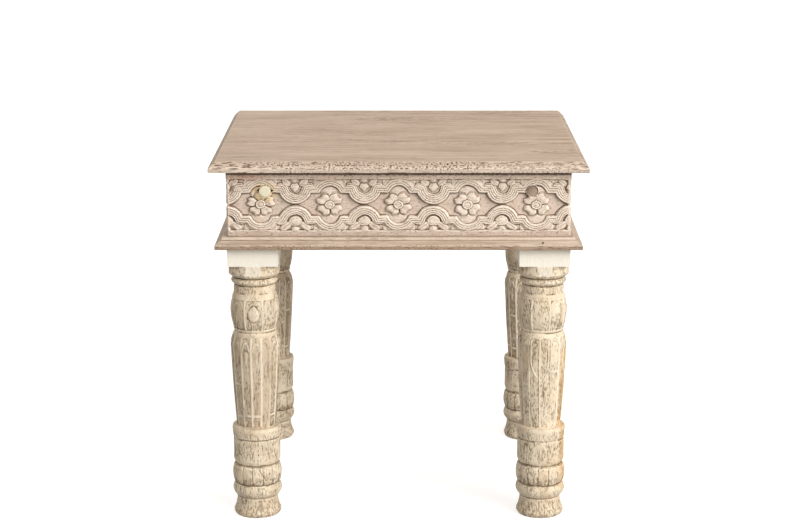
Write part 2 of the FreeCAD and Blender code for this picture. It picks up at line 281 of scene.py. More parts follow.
# A fine grid facing -Y, then the rim rows behind it as (depth, inset across, inset upward), then a back
def reliefBlank(name, across, upward, rim):
    columns = len(across)
    rows = len(upward)
    grid = np.array([(x, 0.0, z) for z in upward for x in across])
    loop = list(range(columns)) + [r * columns + columns - 1 for r in range(1, rows)]
    loop += [(rows - 1) * columns + c for c in range(columns - 2, -1, -1)]
    loop += [r * columns for r in range(rows - 2, 0, -1)]
    points = [grid]
    faces = []
    for r in range(rows - 1):
        for c in range(columns - 1):
            corner = r * columns + c
            faces.append((corner, corner + 1, corner + 1 + columns, corner + columns))
    middle = (upward[0] + upward[-1]) / 2
    before = loop
    for number, (depth, insetX, insetZ) in enumerate(rim):
        ring = grid[loop].copy()
        ring[:, 0] *= (across[-1] - insetX) / across[-1]
        ring[:, 2] = middle + (ring[:, 2] - middle) * (1 - insetZ / (upward[-1] - middle))
        ring[:, 1] = depth
        points.append(ring)
        now = [rows * columns + number * len(loop) + k for k in range(len(loop))]
        for k in range(len(loop)):
            following = (k + 1) % len(loop)
            faces.append((before[k], now[k], now[following], before[following]))
        before = now
    faces.append(tuple(reversed(before)))
    points = np.concatenate(points)
    marks = np.zeros(len(points))
    marks[:rows * columns] = 1
    return makeMesh(name, points.tolist(), faces, points, marks)


# Shader groups shared by the finishes
def tint(red, green, blue):         # a screen colour, 0 to 255, as linear light
    def linear(value):
        share = value / 255
        return share / 12.92 if share <= 0.04045 else ((share + 0.055) / 1.055) ** 2.4
    return (linear(red), linear(green), linear(blue), 1.0)


def newGroup(name, inputs, outputs):
    group = bpy.data.node_groups.new(name, "ShaderNodeTree")
    for title, value in inputs.items():
        kind = "NodeSocketVector" if value is None else "NodeSocketFloat"
        socket = group.interface.new_socket(title, in_out="INPUT", socket_type=kind)
        if value is not None:
            socket.default_value = value
    for title in outputs:
        group.interface.new_socket(title, in_out="OUTPUT", socket_type="NodeSocketFloat")
    start = group.nodes.new("NodeGroupInput")
    end = group.nodes.new("NodeGroupOutput")
    return group, {title: Field(group, start.outputs[title]) for title in inputs}, end


def closeGroup(group, end, results):
    for title, field in results.items():
        group.links.new(field.socket, end.inputs[title])
    return group


def useGroup(tree, group, values):
    node = addNode(tree, "ShaderNodeGroup", node_tree=group)
    for title, value in values.items():
        plugIn(tree, value, node.inputs[title])
    return {socket.name: Field(tree, socket) for socket in node.outputs}


boardGrain = {      # noise spots per metre along X, Y and Z
    "bend": (4, 9, 9), "eyes": (4.5, 0.01, 9.0), "streaks": (7, 130, 130), "fine": (12, 430, 430),
    "pores": (60, 900, 900), "bands": (3, 28, 28), "patches": (7, 13, 13), "flecks": (90, 330, 330),
    "curl": 0.012, "knotCurl": 0.02,        # metres by which the grain is bent aside
}


def grainGroup(look):       # long streaks, short pores, knots and broad patches of a limed board, along X
    outputs = ("Streaks", "Fine", "Pores", "Knots", "Patches")
    group, given, end = newGroup("limedGrain", {"Place": None, "Seed": 0.0}, outputs)
    place = given["Place"]
    seed = given["Seed"]
    x, y, z = parts(group, place)
    bend = streaked(group, place, look["bend"], 2.0, seed)
    values = {"Vector": stretched(group, place, look["eyes"]), "W": seed, "Scale": 1.0}
    eyes = addNode(group, "ShaderNodeTexVoronoi", values, voronoi_dimensions="4D")
    knot = Field(group, eyes.outputs["Distance"]).ramp(0.42, 0.1)
    curl = bend * look["curl"] + knot * look["knotCurl"]
    bent = vector(group, x, y + curl, z + curl)
    streaks = streaked(group, bent, look["streaks"], 5.0, seed, 0.66)
    fine = streaked(group, bent, look["fine"], 3.0, seed, 0.6)
    pores = streaked(group, bent, look["pores"], 2.0, seed)
    bands = streaked(group, bent, look["bands"], 2.0, seed)
    patches = streaked(group, place, look["patches"], 3.0, seed)
    flecks = streaked(group, bent, look["flecks"], 2.0, seed)
    results = {"Streaks": streaks.ramp(0.3, 0.72), "Fine": fine.ramp(0.36, 0.66),
               "Patches": patches.ramp(0.3, 0.7), "Knots": knot * flecks.ramp(0.46, 0.62),
               "Pores": pores.ramp(0.53, 0.66) * bands.ramp(0.35, 0.6, 0.25, 1.0)}
    return closeGroup(group, end, results)


handDirt = {"coarse": 45.0, "fine": 260.0}      # noise spots per metre


def wearGroup(look):        # brown dirt left in the hollows and wood rubbed pale on the ridges
    inputs = {"Place": None, "Hollow": 0.0, "Ridge": 0.0, "Seed": 0.0}
    group, given, end = newGroup("handWear", inputs, ("Dirt", "Rub", "Mottle"))
    coarse = noise(group, given["Place"], look["coarse"], 4.0, given["Seed"], 0.6)
    fine = noise(group, given["Place"], look["fine"], 3.0, given["Seed"], 0.6)
    dirt = (given["Hollow"] + (coarse - 0.5) * 0.5 + (fine - 0.5) * 0.35).ramp(0.2, 0.75)
    rub = (given["Ridge"] + (fine - 0.5) * 0.6).ramp(0.12, 0.6)
    mottle = (coarse * 0.6 + fine * 0.4).ramp(0.36, 0.64)
    return closeGroup(group, end, {"Dirt": dirt, "Rub": rub, "Mottle": mottle})


oldPaint = {        # noise spots per metre along X, Y and Z
    "cracks": (260, 260, 18), "crackGaps": (60, 60, 28), "pits": (430, 430, 160), "pitFields": (48, 48, 24),
    "flakes": (42, 42, 24), "fewPits": 0.635, "byDensity": 0.2, "byField": 0.34,
}


def crackGroup(look):       # short upright cracks and speckled pits of old paint
    inputs = {"Place": None, "Density": 0.4, "Seed": 0.0}
    group, given, end = newGroup("dryPaint", inputs, ("Cracks", "Pits", "Flakes"))
    place = given["Place"]
    seed = given["Seed"]
    lines = streaked(group, place, look["cracks"], 2.0, seed)
    gaps = streaked(group, place, look["crackGaps"], 2.0, seed)
    cracks = abs(lines - 0.5).ramp(0.03, 0.006) * gaps.ramp(0.46, 0.6)
    specks = streaked(group, place, look["pits"], 2.0, seed, 0.6)
    field = streaked(group, place, look["pitFields"], 3.0, seed)
    edge = look["fewPits"] - given["Density"] * look["byDensity"] - (field - 0.5) * look["byField"]
    pits = (specks - edge).ramp(-0.03, 0.09)
    flakes = streaked(group, place, look["flakes"], 4.0, seed, 0.6).ramp(0.46, 0.62)
    return closeGroup(group, end, {"Cracks": cracks, "Pits": pits, "Flakes": flakes})


limedGrain = grainGroup(boardGrain)
handWear = wearGroup(handDirt)
dryPaint = crackGroup(oldPaint)


def newFinish(name):
    material = bpy.data.materials.new(name)
    material.use_nodes = True
    tree = material.node_tree
    return material, tree, tree.nodes["Principled BSDF"]


def mixed(tree, share, first, second):
    node = addNode(tree, "ShaderNodeMix", data_type="RGBA", blend_type="MIX")
    for number, item in ((0, share), (6, first), (7, second)):      # the colour sockets of a mix are 6 and 7
        plugIn(tree, item, node.inputs[number])
    return Field(tree, node.outputs[2])


def layered(tree, colour, coats):       # each coat is a share and the colour that is laid over what is there
    for share, over in coats:
        colour = mixed(tree, share, colour, over)
    return colour


def attribute(tree, title, output):
    return Field(tree, addNode(tree, "ShaderNodeAttribute", attribute_name=title).outputs[output])


def masks(tree, *titles):
    return [attribute(tree, title, "Fac") for title in titles]


def objectPlace(tree):
    return Field(tree, addNode(tree, "ShaderNodeTexCoord").outputs["Object"])


def coat(tree, shader, colour, rough, height, bump):        # bump is its strength and its depth in metres
    plugIn(tree, colour, shader.inputs["Base Color"])
    plugIn(tree, rough, shader.inputs["Roughness"])
    values = {"Height": height, "Strength": bump[0], "Distance": bump[1]}
    node = addNode(tree, "ShaderNodeBump", values)
    tree.links.new(node.outputs[0], shader.inputs["Normal"])
    shader.inputs["Specular IOR Level"].default_value = 0.3


# Finishes
limedBoards = {
    "limed": tint(215, 192, 171), "bare": tint(166, 141, 119), "pale": tint(222, 202, 182),
    "lip": tint(236, 220, 202), "rimWood": tint(189, 170, 152), "pore": tint(98, 74, 54),
    "hole": tint(70, 54, 42), "patches": 0.4, "fine": 0.25, "rimShade": 0.55, "rub": 0.4, "pores": 0.45,
    "rimPoreLoss": 0.3, "knots": 0.62, "beadFootLine": 0.75, "rimPores": 1.0, "topSpecks": 0.08, "lipSpeckLoss": 0.12,
    "nailHole": 0.0014, "roughness": 0.6, "bump": (0.5, 0.0006), "seed": 2.0,
    "dashes": (70, 560, 560), "dots": (300, 600, 600), "speckKinds": (9, 40, 40),     # noise spots per metre
}
limedRails = {
    **limedBoards, "limed": tint(218, 199, 180), "bare": tint(166, 142, 120), "pale": tint(228, 211, 192),
    # the lip's dark brown is partly the rail's own wood, partly painted shade on its upright face
    "lip": tint(164, 140, 118), "rimShade": 0.0, "rimPores": 0.7, "fine": 0.5, "rub": 0.8,
    "nail": (0.2137, 0.0098), "seed": 3.0,      # the nail hole's place along the rail and up it
}


def limedBoardFinish(name, look):       # limed boards: pink beige, with brown pores thick on the sawn rims
    material, tree, shader = newFinish(name)
    seed = look["seed"]
    place = attribute(tree, "grainPlace", "Vector")
    rim, lip, ridge, beadFootLine = masks(tree, "rim", "lip", "ridge", "beadFootLine")
    grain = useGroup(tree, limedGrain, {"Place": place, "Seed": seed})
    worn = useGroup(tree, handWear, {"Place": place, "Hollow": 0.0, "Ridge": ridge, "Seed": seed})
    dashes = streaked(tree, place, look["dashes"], 1.0, seed, 0.6).ramp(0.5, 0.58)
    dots = streaked(tree, place, look["dots"], 1.0, seed, 0.6).ramp(0.5, 0.58)
    kind = streaked(tree, place, look["speckKinds"], 2.0, seed)
    specks = (dashes * kind.ramp(0.42, 0.56)).high(dots * kind.ramp(0.58, 0.42))
    specks = specks * rim.high(look["topSpecks"]) * (1 - lip * look["lipSpeckLoss"]) * look["rimPores"]
    colour = layered(tree, mixed(tree, grain["Streaks"], look["bare"], look["limed"]), [
        (grain["Patches"] * look["patches"], look["pale"]),
        (grain["Fine"] * look["fine"], look["bare"]),
        (lip, look["lip"]),
        (rim * (1 - lip) * look["rimShade"], look["rimWood"]),
        (worn["Rub"] * look["rub"], look["pale"]),
        (grain["Pores"] * (look["pores"] - rim * look["rimPoreLoss"]), look["pore"]),
        (grain["Knots"] * look["knots"], look["pore"]),
        (specks, look["pore"]),
        (beadFootLine * look["beadFootLine"], look["pore"]),
    ])
    if "nail" in look:
        x, _, z = parts(tree, place)
        nailSquare = oval(x - look["nail"][0], z - look["nail"][1], look["nailHole"], look["nailHole"])
        colour = mixed(tree, nailSquare.ramp(1.3, 0.6), colour, look["hole"])
    rough = grain["Streaks"] * 0.12 + worn["Mottle"] * 0.08 + look["roughness"]
    height = grain["Streaks"] * 0.4 - grain["Pores"] - specks
    coat(tree, shader, colour, rough, height, look["bump"])
    return material


limedCarving = {
    "high": tint(229, 213, 196), "ground": tint(211, 193, 177), "strip": tint(246, 224, 205),
    "dirt": tint(106, 82, 61), "rubbed": tint(242, 230, 214), "stain": tint(190, 158, 136),
    "shadeDark": tint(56, 33, 18), "ochre": tint(214, 184, 126), "blush": tint(178, 122, 96),
    "bare": tint(174, 154, 136), "streaks": 0.48, "patches": 0.45, "rub": 0.7, "pores": 0.45, "hollows": 0.9,
    "specks": (210, 420, 420), "roughness": 0.68, "bump": (0.6, 0.0006), "seed": 5.0,
}


def carvingFinish(look):        # pale limed carving with brown left in its hollows
    material, tree, shader = newFinish("limedCarving")
    place = attribute(tree, "grainPlace", "Vector")
    hollow, ridge, sunk, strip = masks(tree, "hollow", "ridge", "sunk", "strip")
    flat, halo, blush, shadeAndSoot = masks(tree, "flat", "halo", "blush", "shadeAndSoot")
    grain = useGroup(tree, limedGrain, {"Place": place, "Seed": look["seed"]})
    worn = useGroup(tree, handWear, {"Place": place, "Hollow": hollow, "Ridge": ridge, "Seed": look["seed"]})
    mottle = worn["Mottle"]
    specks = streaked(tree, place, look["specks"], 2.0, look["seed"], 0.6).ramp(0.54, 0.68)
    colour = layered(tree, mixed(tree, sunk, look["high"], look["ground"]), [
        # painted light: the upper plain strip is made paler to lift it out of the top's shadow
        (strip, look["strip"]),
        ((1 - grain["Streaks"]) * flat * look["streaks"], look["bare"]),
        (grain["Patches"] * look["patches"] * mottle, look["stain"]),
        (halo * (mottle * 0.5 + 0.5), look["ochre"]),
        (blush * (mottle * 0.7 + 0.1), look["blush"]),
        (worn["Rub"] * look["rub"], look["rubbed"]),
        ((specks * (flat * 0.3 + 0.5)).high(grain["Pores"] * look["pores"]), look["dirt"]),
        (worn["Dirt"] * look["hollows"], look["dirt"]),
        # painted shade with some soot: the darkest brown where shadows fall under the top, the straps and the
        # petals
        (shadeAndSoot, look["shadeDark"]),
    ])
    rough = worn["Dirt"] * 0.15 + mottle * 0.08 + look["roughness"]
    height = mottle * 0.6 - specks * 0.5 + grain["Streaks"] * 0.3
    coat(tree, shader, colour, rough, height, look["bump"])
    return material


ivoryLeg = {
    "ivory": tint(228, 211, 185), "warm": tint(207, 183, 151), "pit": tint(118, 96, 70),
    "rubbed": tint(242, 230, 208), "block": tint(238, 231, 217), "stain": tint(206, 158, 84),
    "agedAndShaded": tint(150, 126, 100), "flakes": 0.6, "ageAndShade": 0.5, "rub": 0.6, "ribs": 0.65, "darkest": 0.92,
    "roughness": 0.6, "bump": (0.8, 0.0009), "seed": 9.0,
}


def legFinish(look):        # old ivory paint, pitted and cracked, with a clean white block on top, and painted shade on some legs
    material, tree, shader = newFinish("ivoryLeg")
    place = objectPlace(tree)
    clean, pitted, hollow, ridge = masks(tree, "clean", "pitted", "hollow", "ridge")
    agedAndShaded, stain, rib = masks(tree, "agedAndShaded", "stain", "rib")
    paint = useGroup(tree, dryPaint, {"Place": place, "Density": pitted, "Seed": look["seed"]})
    worn = useGroup(tree, handWear, {"Place": place, "Hollow": hollow, "Ridge": ridge, "Seed": look["seed"]})
    old = 1 - clean
    pits = paint["Pits"] * (old * 0.6 + 0.03)
    cracks = paint["Cracks"] * (old * 0.5 + 0.06)
    dark = (pits + cracks + worn["Dirt"] * (old * 0.75 + 0.1)).low(look["darkest"]) * (1 - rib * look["ribs"])
    colour = layered(tree, mixed(tree, paint["Flakes"] * look["flakes"], look["ivory"], look["warm"]), [
        # brown over some legs: partly age, partly painted shade for legs that stand in less light
        (agedAndShaded * look["ageAndShade"], look["agedAndShaded"]),
        (stain * (worn["Mottle"] * 0.6 + 0.2), look["stain"]),
        ((worn["Rub"] * look["rub"]).high(rib * look["ribs"]), look["rubbed"]),
        (clean, look["block"]),
        (dark, look["pit"]),
    ])
    rough = dark * 0.2 + worn["Mottle"] * 0.1 + look["roughness"]
    height = worn["Mottle"] * 0.4 - pits - cracks
    coat(tree, shader, colour, rough, height, look["bump"])
    return material


sawnBlocks = {
    "light": tint(196, 164, 130), "dark": tint(150, 116, 86), "saw": tint(214, 188, 156),
    "sawPitch": 2600, "roughness": 0.72, "bump": (0.5, 0.0005), "seed": 13.0,   # pitch in radians a metre
}


def sawnFinish(name, turned, look):     # rough sawn inner wood; turned says if its grain runs along Y
    material, tree, shader = newFinish(name)
    mapping = addNode(tree, "ShaderNodeMapping", {"Vector": objectPlace(tree)})
    mapping.inputs["Rotation"].default_value[2] = math.radians(90) if turned else 0
    place = Field(tree, mapping.outputs[0])
    grain = useGroup(tree, limedGrain, {"Place": place, "Seed": look["seed"]})
    x = parts(tree, place)[0]
    cuts = (x * look["sawPitch"] + grain["Patches"] * 3).math("SINE") * 0.5 + 0.5
    colour = layered(tree, mixed(tree, grain["Streaks"], look["dark"], look["light"]), [
        (cuts * 0.25, look["saw"]),
        (grain["Pores"] * 0.6, look["dark"]),
    ])
    rough = grain["Patches"] * 0.1 + look["roughness"]
    coat(tree, shader, colour, rough, cuts * 0.5 - grain["Pores"], look["bump"])
    return material


zincSteel = {
    "bright": tint(186, 188, 190), "dull": tint(138, 138, 134), "rust": tint(124, 84, 56),
    "rustShare": 0.5, "metalLoss": 0.6, "roughness": 0.35, "bump": (0.3, 0.0002), "seed": 17.0,
}


def steelFinish(look):      # dull zinc plating with a little rust
    material, tree, shader = newFinish("zincSteel")
    values = {"Place": objectPlace(tree), "Hollow": 0.1, "Ridge": 0.1, "Seed": look["seed"]}
    worn = useGroup(tree, handWear, values)
    colour = mixed(tree, worn["Mottle"], look["dull"], look["bright"])
    colour = mixed(tree, worn["Dirt"] * look["rustShare"], colour, look["rust"])
    plugIn(tree, 1 - worn["Dirt"] * look["metalLoss"], shader.inputs["Metallic"])
    coat(tree, shader, colour, worn["Mottle"] * 0.15 + look["roughness"], worn["Mottle"], look["bump"])
    return material


endGrain = {        # the heart lies off the plug's middle, and ringPitch is in radians a metre
    "heart": (0.006, 0.004), "ringPitch": 5200, "grit": 900.0, "shadeStep": (-0.006, 0.010),
    "roughness": 0.62, "bump": (0.5, 0.0003),
}
palePlug = {
    **endGrain, "wood": tint(236, 229, 206), "ring": tint(226, 212, 168), "edge": tint(150, 122, 78),
    "shade": 0.0, "seed": 21.0,
}
darkPlug = {
    **endGrain, "wood": tint(176, 154, 134), "ring": tint(140, 120, 102), "edge": tint(92, 74, 60),
    "shade": 0.75, "seed": 22.0,
}
limedPlug = {**darkPlug, "wood": tint(196, 174, 152), "ring": tint(166, 144, 122), "shade": 0.3}


def plugFinish(name, look):     # end grain: bent rings and grit, darker at the rim, with painted shade towards the upper left
    material, tree, shader = newFinish(name)
    place = attribute(tree, "grainPlace", "Vector")
    x, _, z = parts(tree, place)
    worn = useGroup(tree, handWear, {"Place": place, "Hollow": 0.15, "Ridge": 0.2, "Seed": look["seed"]})
    mottle = worn["Mottle"]
    reach = ((x + look["heart"][0]) ** 2 + (z + look["heart"][1]) ** 2).root()
    rings = (reach * look["ringPitch"] + mottle * 2).math("SINE") * 0.5 + 0.5
    grit = noise(tree, place, look["grit"], 2.0, look["seed"]).ramp(0.5, 0.62)
    # painted shade, as a sunk hole's wall would cast it
    shade = (z - x).ramp(*look["shadeStep"]) * look["shade"]
    colour = layered(tree, mixed(tree, rings * 0.5, look["wood"], look["ring"]), [
        (grit * 0.45, look["edge"]),
        (attribute(tree, "worked", "Fac"), look["edge"]),
        (shade * (mottle * 0.5 + 0.5), look["edge"]),
        (worn["Dirt"] * 0.4, look["edge"]),
    ])
    coat(tree, shader, colour, mottle * 0.1 + look["roughness"], rings * 0.4 + mottle, look["bump"])
    return material


topFinish = limedBoardFinish("limedTop", limedBoards)
railFinish = limedBoardFinish("limedMoulding", limedRails)
apronFinish = carvingFinish(limedCarving)
ivoryFinish = legFinish(ivoryLeg)
zincFinish = steelFinish(zincSteel)
print("finishes made:", len(bpy.data.materials))


# Top: three boards whose rim is bevelled on the outer edges
planedTop = {
    "step": 0.0035, "bevel": 0.0095, "arris": 0.0009, "chamfer": 0.0008, "ragged": 0.0006,
    "raggedScale": 60.0, "soften": 0.0001, "jointCut": 0.0005, "jointWide": 0.0012, "bevelLine": 0.002,
    "rimSoft": 0.001, "wave": 0.00025, "waveStretch": (3, 3, 14), "waveScale": 3.0,
    "rowShares": (0.06, 0.5, 0.9, 1.0, 1.1, 1.3),       # closer rows by the edges, as shares of the bevel
    "otherBoard": 1.0,      # an edge that meets another board counts as this far away
}


def planedTopTree(look):
    sizes = {"Half Width": 0.28, "Depth Of Board": 0.18, "Thickness": 0.016, "Front Bevel": 0.0,
             "Rear Bevel": 0.0, "Bevel": look["bevel"], "Arris": look["arris"], "Wave": look["wave"],
             "Seed": 0.0}
    tree, start, size, place = newTree("planedTop", sizes)
    x, y, z = parts(tree, place)
    worked = recall(tree, "worked")
    bevel = size["Bevel"]
    arris = size["Arris"]
    fromEnd = size["Half Width"] - abs(x)
    fromFront = z + (1 - size["Front Bevel"]) * look["otherBoard"]
    fromRear = size["Depth Of Board"] - z + (1 - size["Rear Bevel"]) * look["otherBoard"]
    fromEdge = fromEnd.low(fromFront).low(fromRear)
    ragged = noise(tree, place, look["raggedScale"], 3.0, size["Seed"])
    sunk = (bevel - fromEdge + (ragged - 0.5) * look["ragged"]).high(0)
    sunk = sunk.math("SMOOTH_MAX", (fromEdge - bevel) / arris * -look["soften"], arris)
    joint = z.low(size["Depth Of Board"] - z).ramp(0.0, look["jointWide"], look["jointCut"], 0.0)
    wave = noise(tree, stretched(tree, place, look["waveStretch"]), look["waveScale"], 2.0, size["Seed"])
    depth = (sunk + joint + wave * size["Wave"]) * worked
    geometry = moveBy(tree, start, vector(tree, 0.0, depth, 0.0))
    edge = fromEdge.ramp(arris * 3, 0.0) + abs(fromEdge - bevel).ramp(look["bevelLine"], 0.0)
    onRim = fromEdge.ramp(bevel + look["rimSoft"], bevel - look["rimSoft"])
    outer = (1 - worked) * y.math("LESS_THAN", size["Thickness"] - look["chamfer"] * 0.5)
    lip = (onRim * fromEdge.ramp(bevel, 0.0, 0.0, 0.6)).high(outer)
    geometry = keep(tree, geometry, {"ridge": edge.low(1), "rim": onRim.high(outer), "lip": lip})
    return closeTree(tree, start, geometry)


def spaced(low, high, step, ends):      # even spacing with extra lines close to both ends
    count = max(2, round((high - low) / step))
    lines = set(np.linspace(low, high, count + 1).tolist())
    for gap in ends:
        lines |= {low + gap, high - gap}
    return sorted(lines)


def layTop(look):
    tree = planedTopTree(look)
    rows = [look["bevel"] * share for share in look["rowShares"]] + [look["jointWide"]]
    chamfer = look["chamfer"]
    for seed, name in enumerate(("front", "middle", "rear")):
        low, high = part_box("top_board_" + name)
        half = (high.x - low.x) / 2
        deep = high.y - low.y
        thick = high.z - low.z
        rim = [(thick - chamfer, 0.0, 0.0), (thick, chamfer, chamfer * (name != "middle"))]
        across = spaced(-half, half, look["step"], rows)
        blank = reliefBlank("top", across, spaced(0.0, deep, look["step"], rows), rim)
        values = {"Half Width": half, "Depth Of Board": deep, "Thickness": thick, "Seed": float(seed),
                  "Front Bevel": float(name == "front"), "Rear Bevel": float(name == "rear"),
                  "Finish": topFinish}
        mesh = grow("top", blank, tree, values)
        shiftGrain(mesh, low.y + seed)
        flat = Matrix.Translation((0, low.y, high.z)) @ Matrix.Rotation(math.radians(-90), 4, "X")
        setPiece("topBoard" + name.title(), mesh, flat, ["top_board_" + name])


layTop(planedTop)
print("top laid")


# Aprons: a reeded strap in two mirrored waves, a flower in each cell, half flowers between the cells
carvedFrieze = {        # metres; pairs and fours are soft steps; shares are of the pitch or half height
    "step": 0.0008, "pitch": 0.102, "topStrip": 0.014, "bottomStrip": 0.0095, "depth": 0.0066,
    "endBlend": 0.02, "lobeShare": 0.182, "reachShare": 0.31, "arcPoints": 28,
    "upper": {"shoulder": 0.605, "crown": 0.905, "dip": 0.17},
    "lower": {"shoulder": 0.59, "crown": 0.885, "dip": 0.185},
    "hand": {"drift": 22.0, "tremor": 75.0, "driftX": 0.0062, "driftZ": 0.0054, "shake": 0.0016},
    "strap": {"wide": 0.0094, "wall": 0.0015, "sharp": 0.0002, "reed": 0.0019, "reedTurns": 1.5,
              "reedRound": 0.7, "upperLip": 0.0046, "lowerLip": 0.0020, "lipReed": 0.25, "half": 0.001,
              "turnOver": 0.002, "behindLobe": 0.40, "besideLobe": 0.55, "edge": (-0.0005, 0.0005)},
    "flower": {"reach": 0.0224, "rise": 0.0002, "squash": 0.84, "drift": 0.0016, "twist": 0.3,
               "tipShare": 0.46, "neckShare": 0.54, "notch": 0.13, "cup": (0.018, 0.007), "cupShare": 0.45,
               "lowered": 0.0004, "button": 0.0070, "eye": 0.0011, "eyeSunk": 0.0016, "ring": 0.0018,
               "parting": 0.0022},
    "bud": {"upShare": 0.45, "wide": 0.0152, "high": 0.0112, "lowered": 0.0026},
    "disc": {"downShare": 0.56, "wide": 0.0140, "high": 0.0105, "rise": 0.0030},
    "bloom": {"knobRise": 0.0042, "knobSunk": 0.0046, "leafSunk": 0.0006, "leafLine": 0.0010,
              "wingSunk": 0.0012, "vein": 0.0010, "ringCut": 0.0022,
              "along": 0.82, "aside": 0.57},        # about the cosine and sine of a wing's tilt
    "topBloom": {"knob": 0.0052, "petalPlace": 0.0118, "petalHigh": 0.0072, "petalWide": 0.0068,
                 "point": 1.9, "wingOut": 0.0125, "wingUp": 0.0044, "wingLong": 0.0078, "wingWide": 0.0048},
    "bottomBloom": {"knob": 0.0062, "petalPlace": 0.0136, "petalHigh": 0.0082, "petalWide": 0.0100,
                    "point": 1.15, "wingOut": 0.0142, "wingUp": 0.0058, "wingLong": 0.0102,
                    "wingWide": 0.0056},
    "field": {"border": 0.0042, "borderWide": 0.0009, "borderCut": 0.0011, "soft": 0.0006,
              "cutWide": 0.0009, "cutDeep": 0.0011, "cutScale": 26.0, "fade": (0.0, 0.008, 0.1, 1.0),
              "upperHalf": (-0.001, 0.001), "belowSoft": 0.0008},
    "chisel": {"chips": 0.0007, "chipScale": 150.0, "facets": 0.0008, "facetScale": 70.0,
               "facetStretch": (1, 1, 1.6), "edges": (0.0, 0.0018, -0.0010, 0.0),
               "ends": (0.0, 0.003, -0.0016, 0.0)},
    # painted shade: the dark line under the top and the shadows under the straps, beside the flanks and the
    # petals
    "shadeAndSoot": {"shadowUnderTop": (0.0082, 0.0060), "shadowUnderTopShare": 0.92, "wander": 0.004, "below": (0.0, -0.002),
              "upperStrap": (0.0098, 0.0050), "lowerStrap": (0.0105, 0.0060),
              "fromLight": (-0.020, 0.012, 0.5, 1.25), "flankOut": 0.0042, "flankFull": 0.0016,
              "flankIn": 0.0012, "flankRight": (-0.012, -0.018), "flankLeft": (-0.040, -0.034),
              "petalLeft": (-0.004, -0.012), "lowerHalf": (0.001, -0.001), "bottomStrip": 0.04},
    "plug": {"sink": 0.009, "rimSunk": 0.0012, "leftRim": (0.0125, 0.0092), "rightRim": (0.0104, 0.0092),
             "lip": (0.0088, 0.0084, 0.001, 0.0), "wall": (0.0086, 0.0082)},
    "glue": {"halo": (0.021, 0.013), "haloTop": (0.015, 0.008), "gapHigh": 0.0088, "gapSlope": 0.72,
             "gapUp": 0.0008, "gapSoft": (-0.0003, 0.0003), "gapStart": (0.0086, 0.0092), "gapDeep": 0.004},
    "darkGap": {"start": (0.0085, 0.0090), "end": (0.0116, 0.0096), "side": (-0.003, -0.007), "share": 0.75},
    # each stain: place along the apron, distance from its top or bottom edge, half width and half height
    "blushes": {"left": (-0.228, 0.011, 0.030, 0.007), "leftShare": 0.9,
                "right": (0.210, 0.0096, 0.014, 0.004), "rightShare": 0.6},
    "hollows": ((0.0022, 10), (0.0007, 2)),     # depth that counts as full, and rounds of blurring
}


def strapLine(aside, pitch, half, look, wave):     # height of a strap's middle above the mid-line
    lobe = pitch * look["lobeShare"]
    reach = pitch * look["reachShare"]
    shoulder = half * wave["shoulder"]
    rise = half * wave["crown"] - shoulder
    lobeRadius = (lobe * lobe + rise * rise) / (rise * 2)
    lobeArc = (lobeRadius * lobeRadius - aside * aside).root() + (shoulder + rise - lobeRadius)
    span = pitch * 0.5 - reach
    drop = shoulder - half * wave["dip"]
    dipRadius = (span * span + drop * drop) / (drop * 2)
    away = pitch * 0.5 - aside
    dipArc = shoulder - drop + dipRadius - (dipRadius * dipRadius - away * away).root()
    inLobe = aside.math("LESS_THAN", lobe)
    inDip = aside.math("GREATER_THAN", reach)
    return lobeArc * inLobe + dipArc * inDip + shoulder * (1 - inLobe - inDip)


def strapPath(tree, pitch, half, look, wave, way):      # one repeat of a strap as curves
    lobe = pitch * look["lobeShare"]
    reach = pitch * look["reachShare"]
    shoulder = half * (wave["shoulder"] * way)
    arcs = ((lobe * -1, 0.0, wave["crown"], lobe), (reach, pitch * 0.5, wave["dip"], pitch - reach))
    lines = ((lobe, reach), (reach * -1, lobe * -1))
    pieces = []
    for first, middle, top, last in arcs:
        values = {"Resolution": look["arcPoints"], "Start": vector(tree, first, 0.0, shoulder),
                  "Middle": vector(tree, middle, 0.0, half * (top * way)),
                  "End": vector(tree, last, 0.0, shoulder)}
        pieces.append(addNode(tree, "GeometryNodeCurveArc", values, mode="POINTS").outputs[0])
    for first, last in lines:
        values = {"Start": vector(tree, first, 0.0, shoulder), "End": vector(tree, last, 0.0, shoulder)}
        pieces.append(addNode(tree, "GeometryNodeCurvePrimitiveLine", values).outputs[0])
    return pieces


def strapWires(tree, size, look):       # both straps along the whole apron, as edges to measure from
    pitch = size["Pitch"]
    straps = []
    for way, wave in ((1, look["upper"]), (-1, look["lower"])):
        straps += strapPath(tree, pitch, size["Half Height"], look, wave, way)
    joined = addNode(tree, "GeometryNodeJoinGeometry")
    for item in reversed(straps):
        tree.links.new(item, joined.inputs[0])
    first = pitch * ((size["Count"] + 1) * -0.5)
    values = {"Count": size["Count"] + 2, "Start Location": vector(tree, first, 0.0, size["Middle"]),
              "Offset": vector(tree, pitch, 0.0, 0.0)}
    line = addNode(tree, "GeometryNodeMeshLine", values)
    values = {"Points": line.outputs[0], "Instance": joined.outputs[0]}
    copies = addNode(tree, "GeometryNodeInstanceOnPoints", values)
    curves = addNode(tree, "GeometryNodeRealizeInstances", {"Geometry": copies.outputs[0]})
    return addNode(tree, "GeometryNodeCurveToMesh", {"Curve": curves.outputs[0]}).outputs[0]


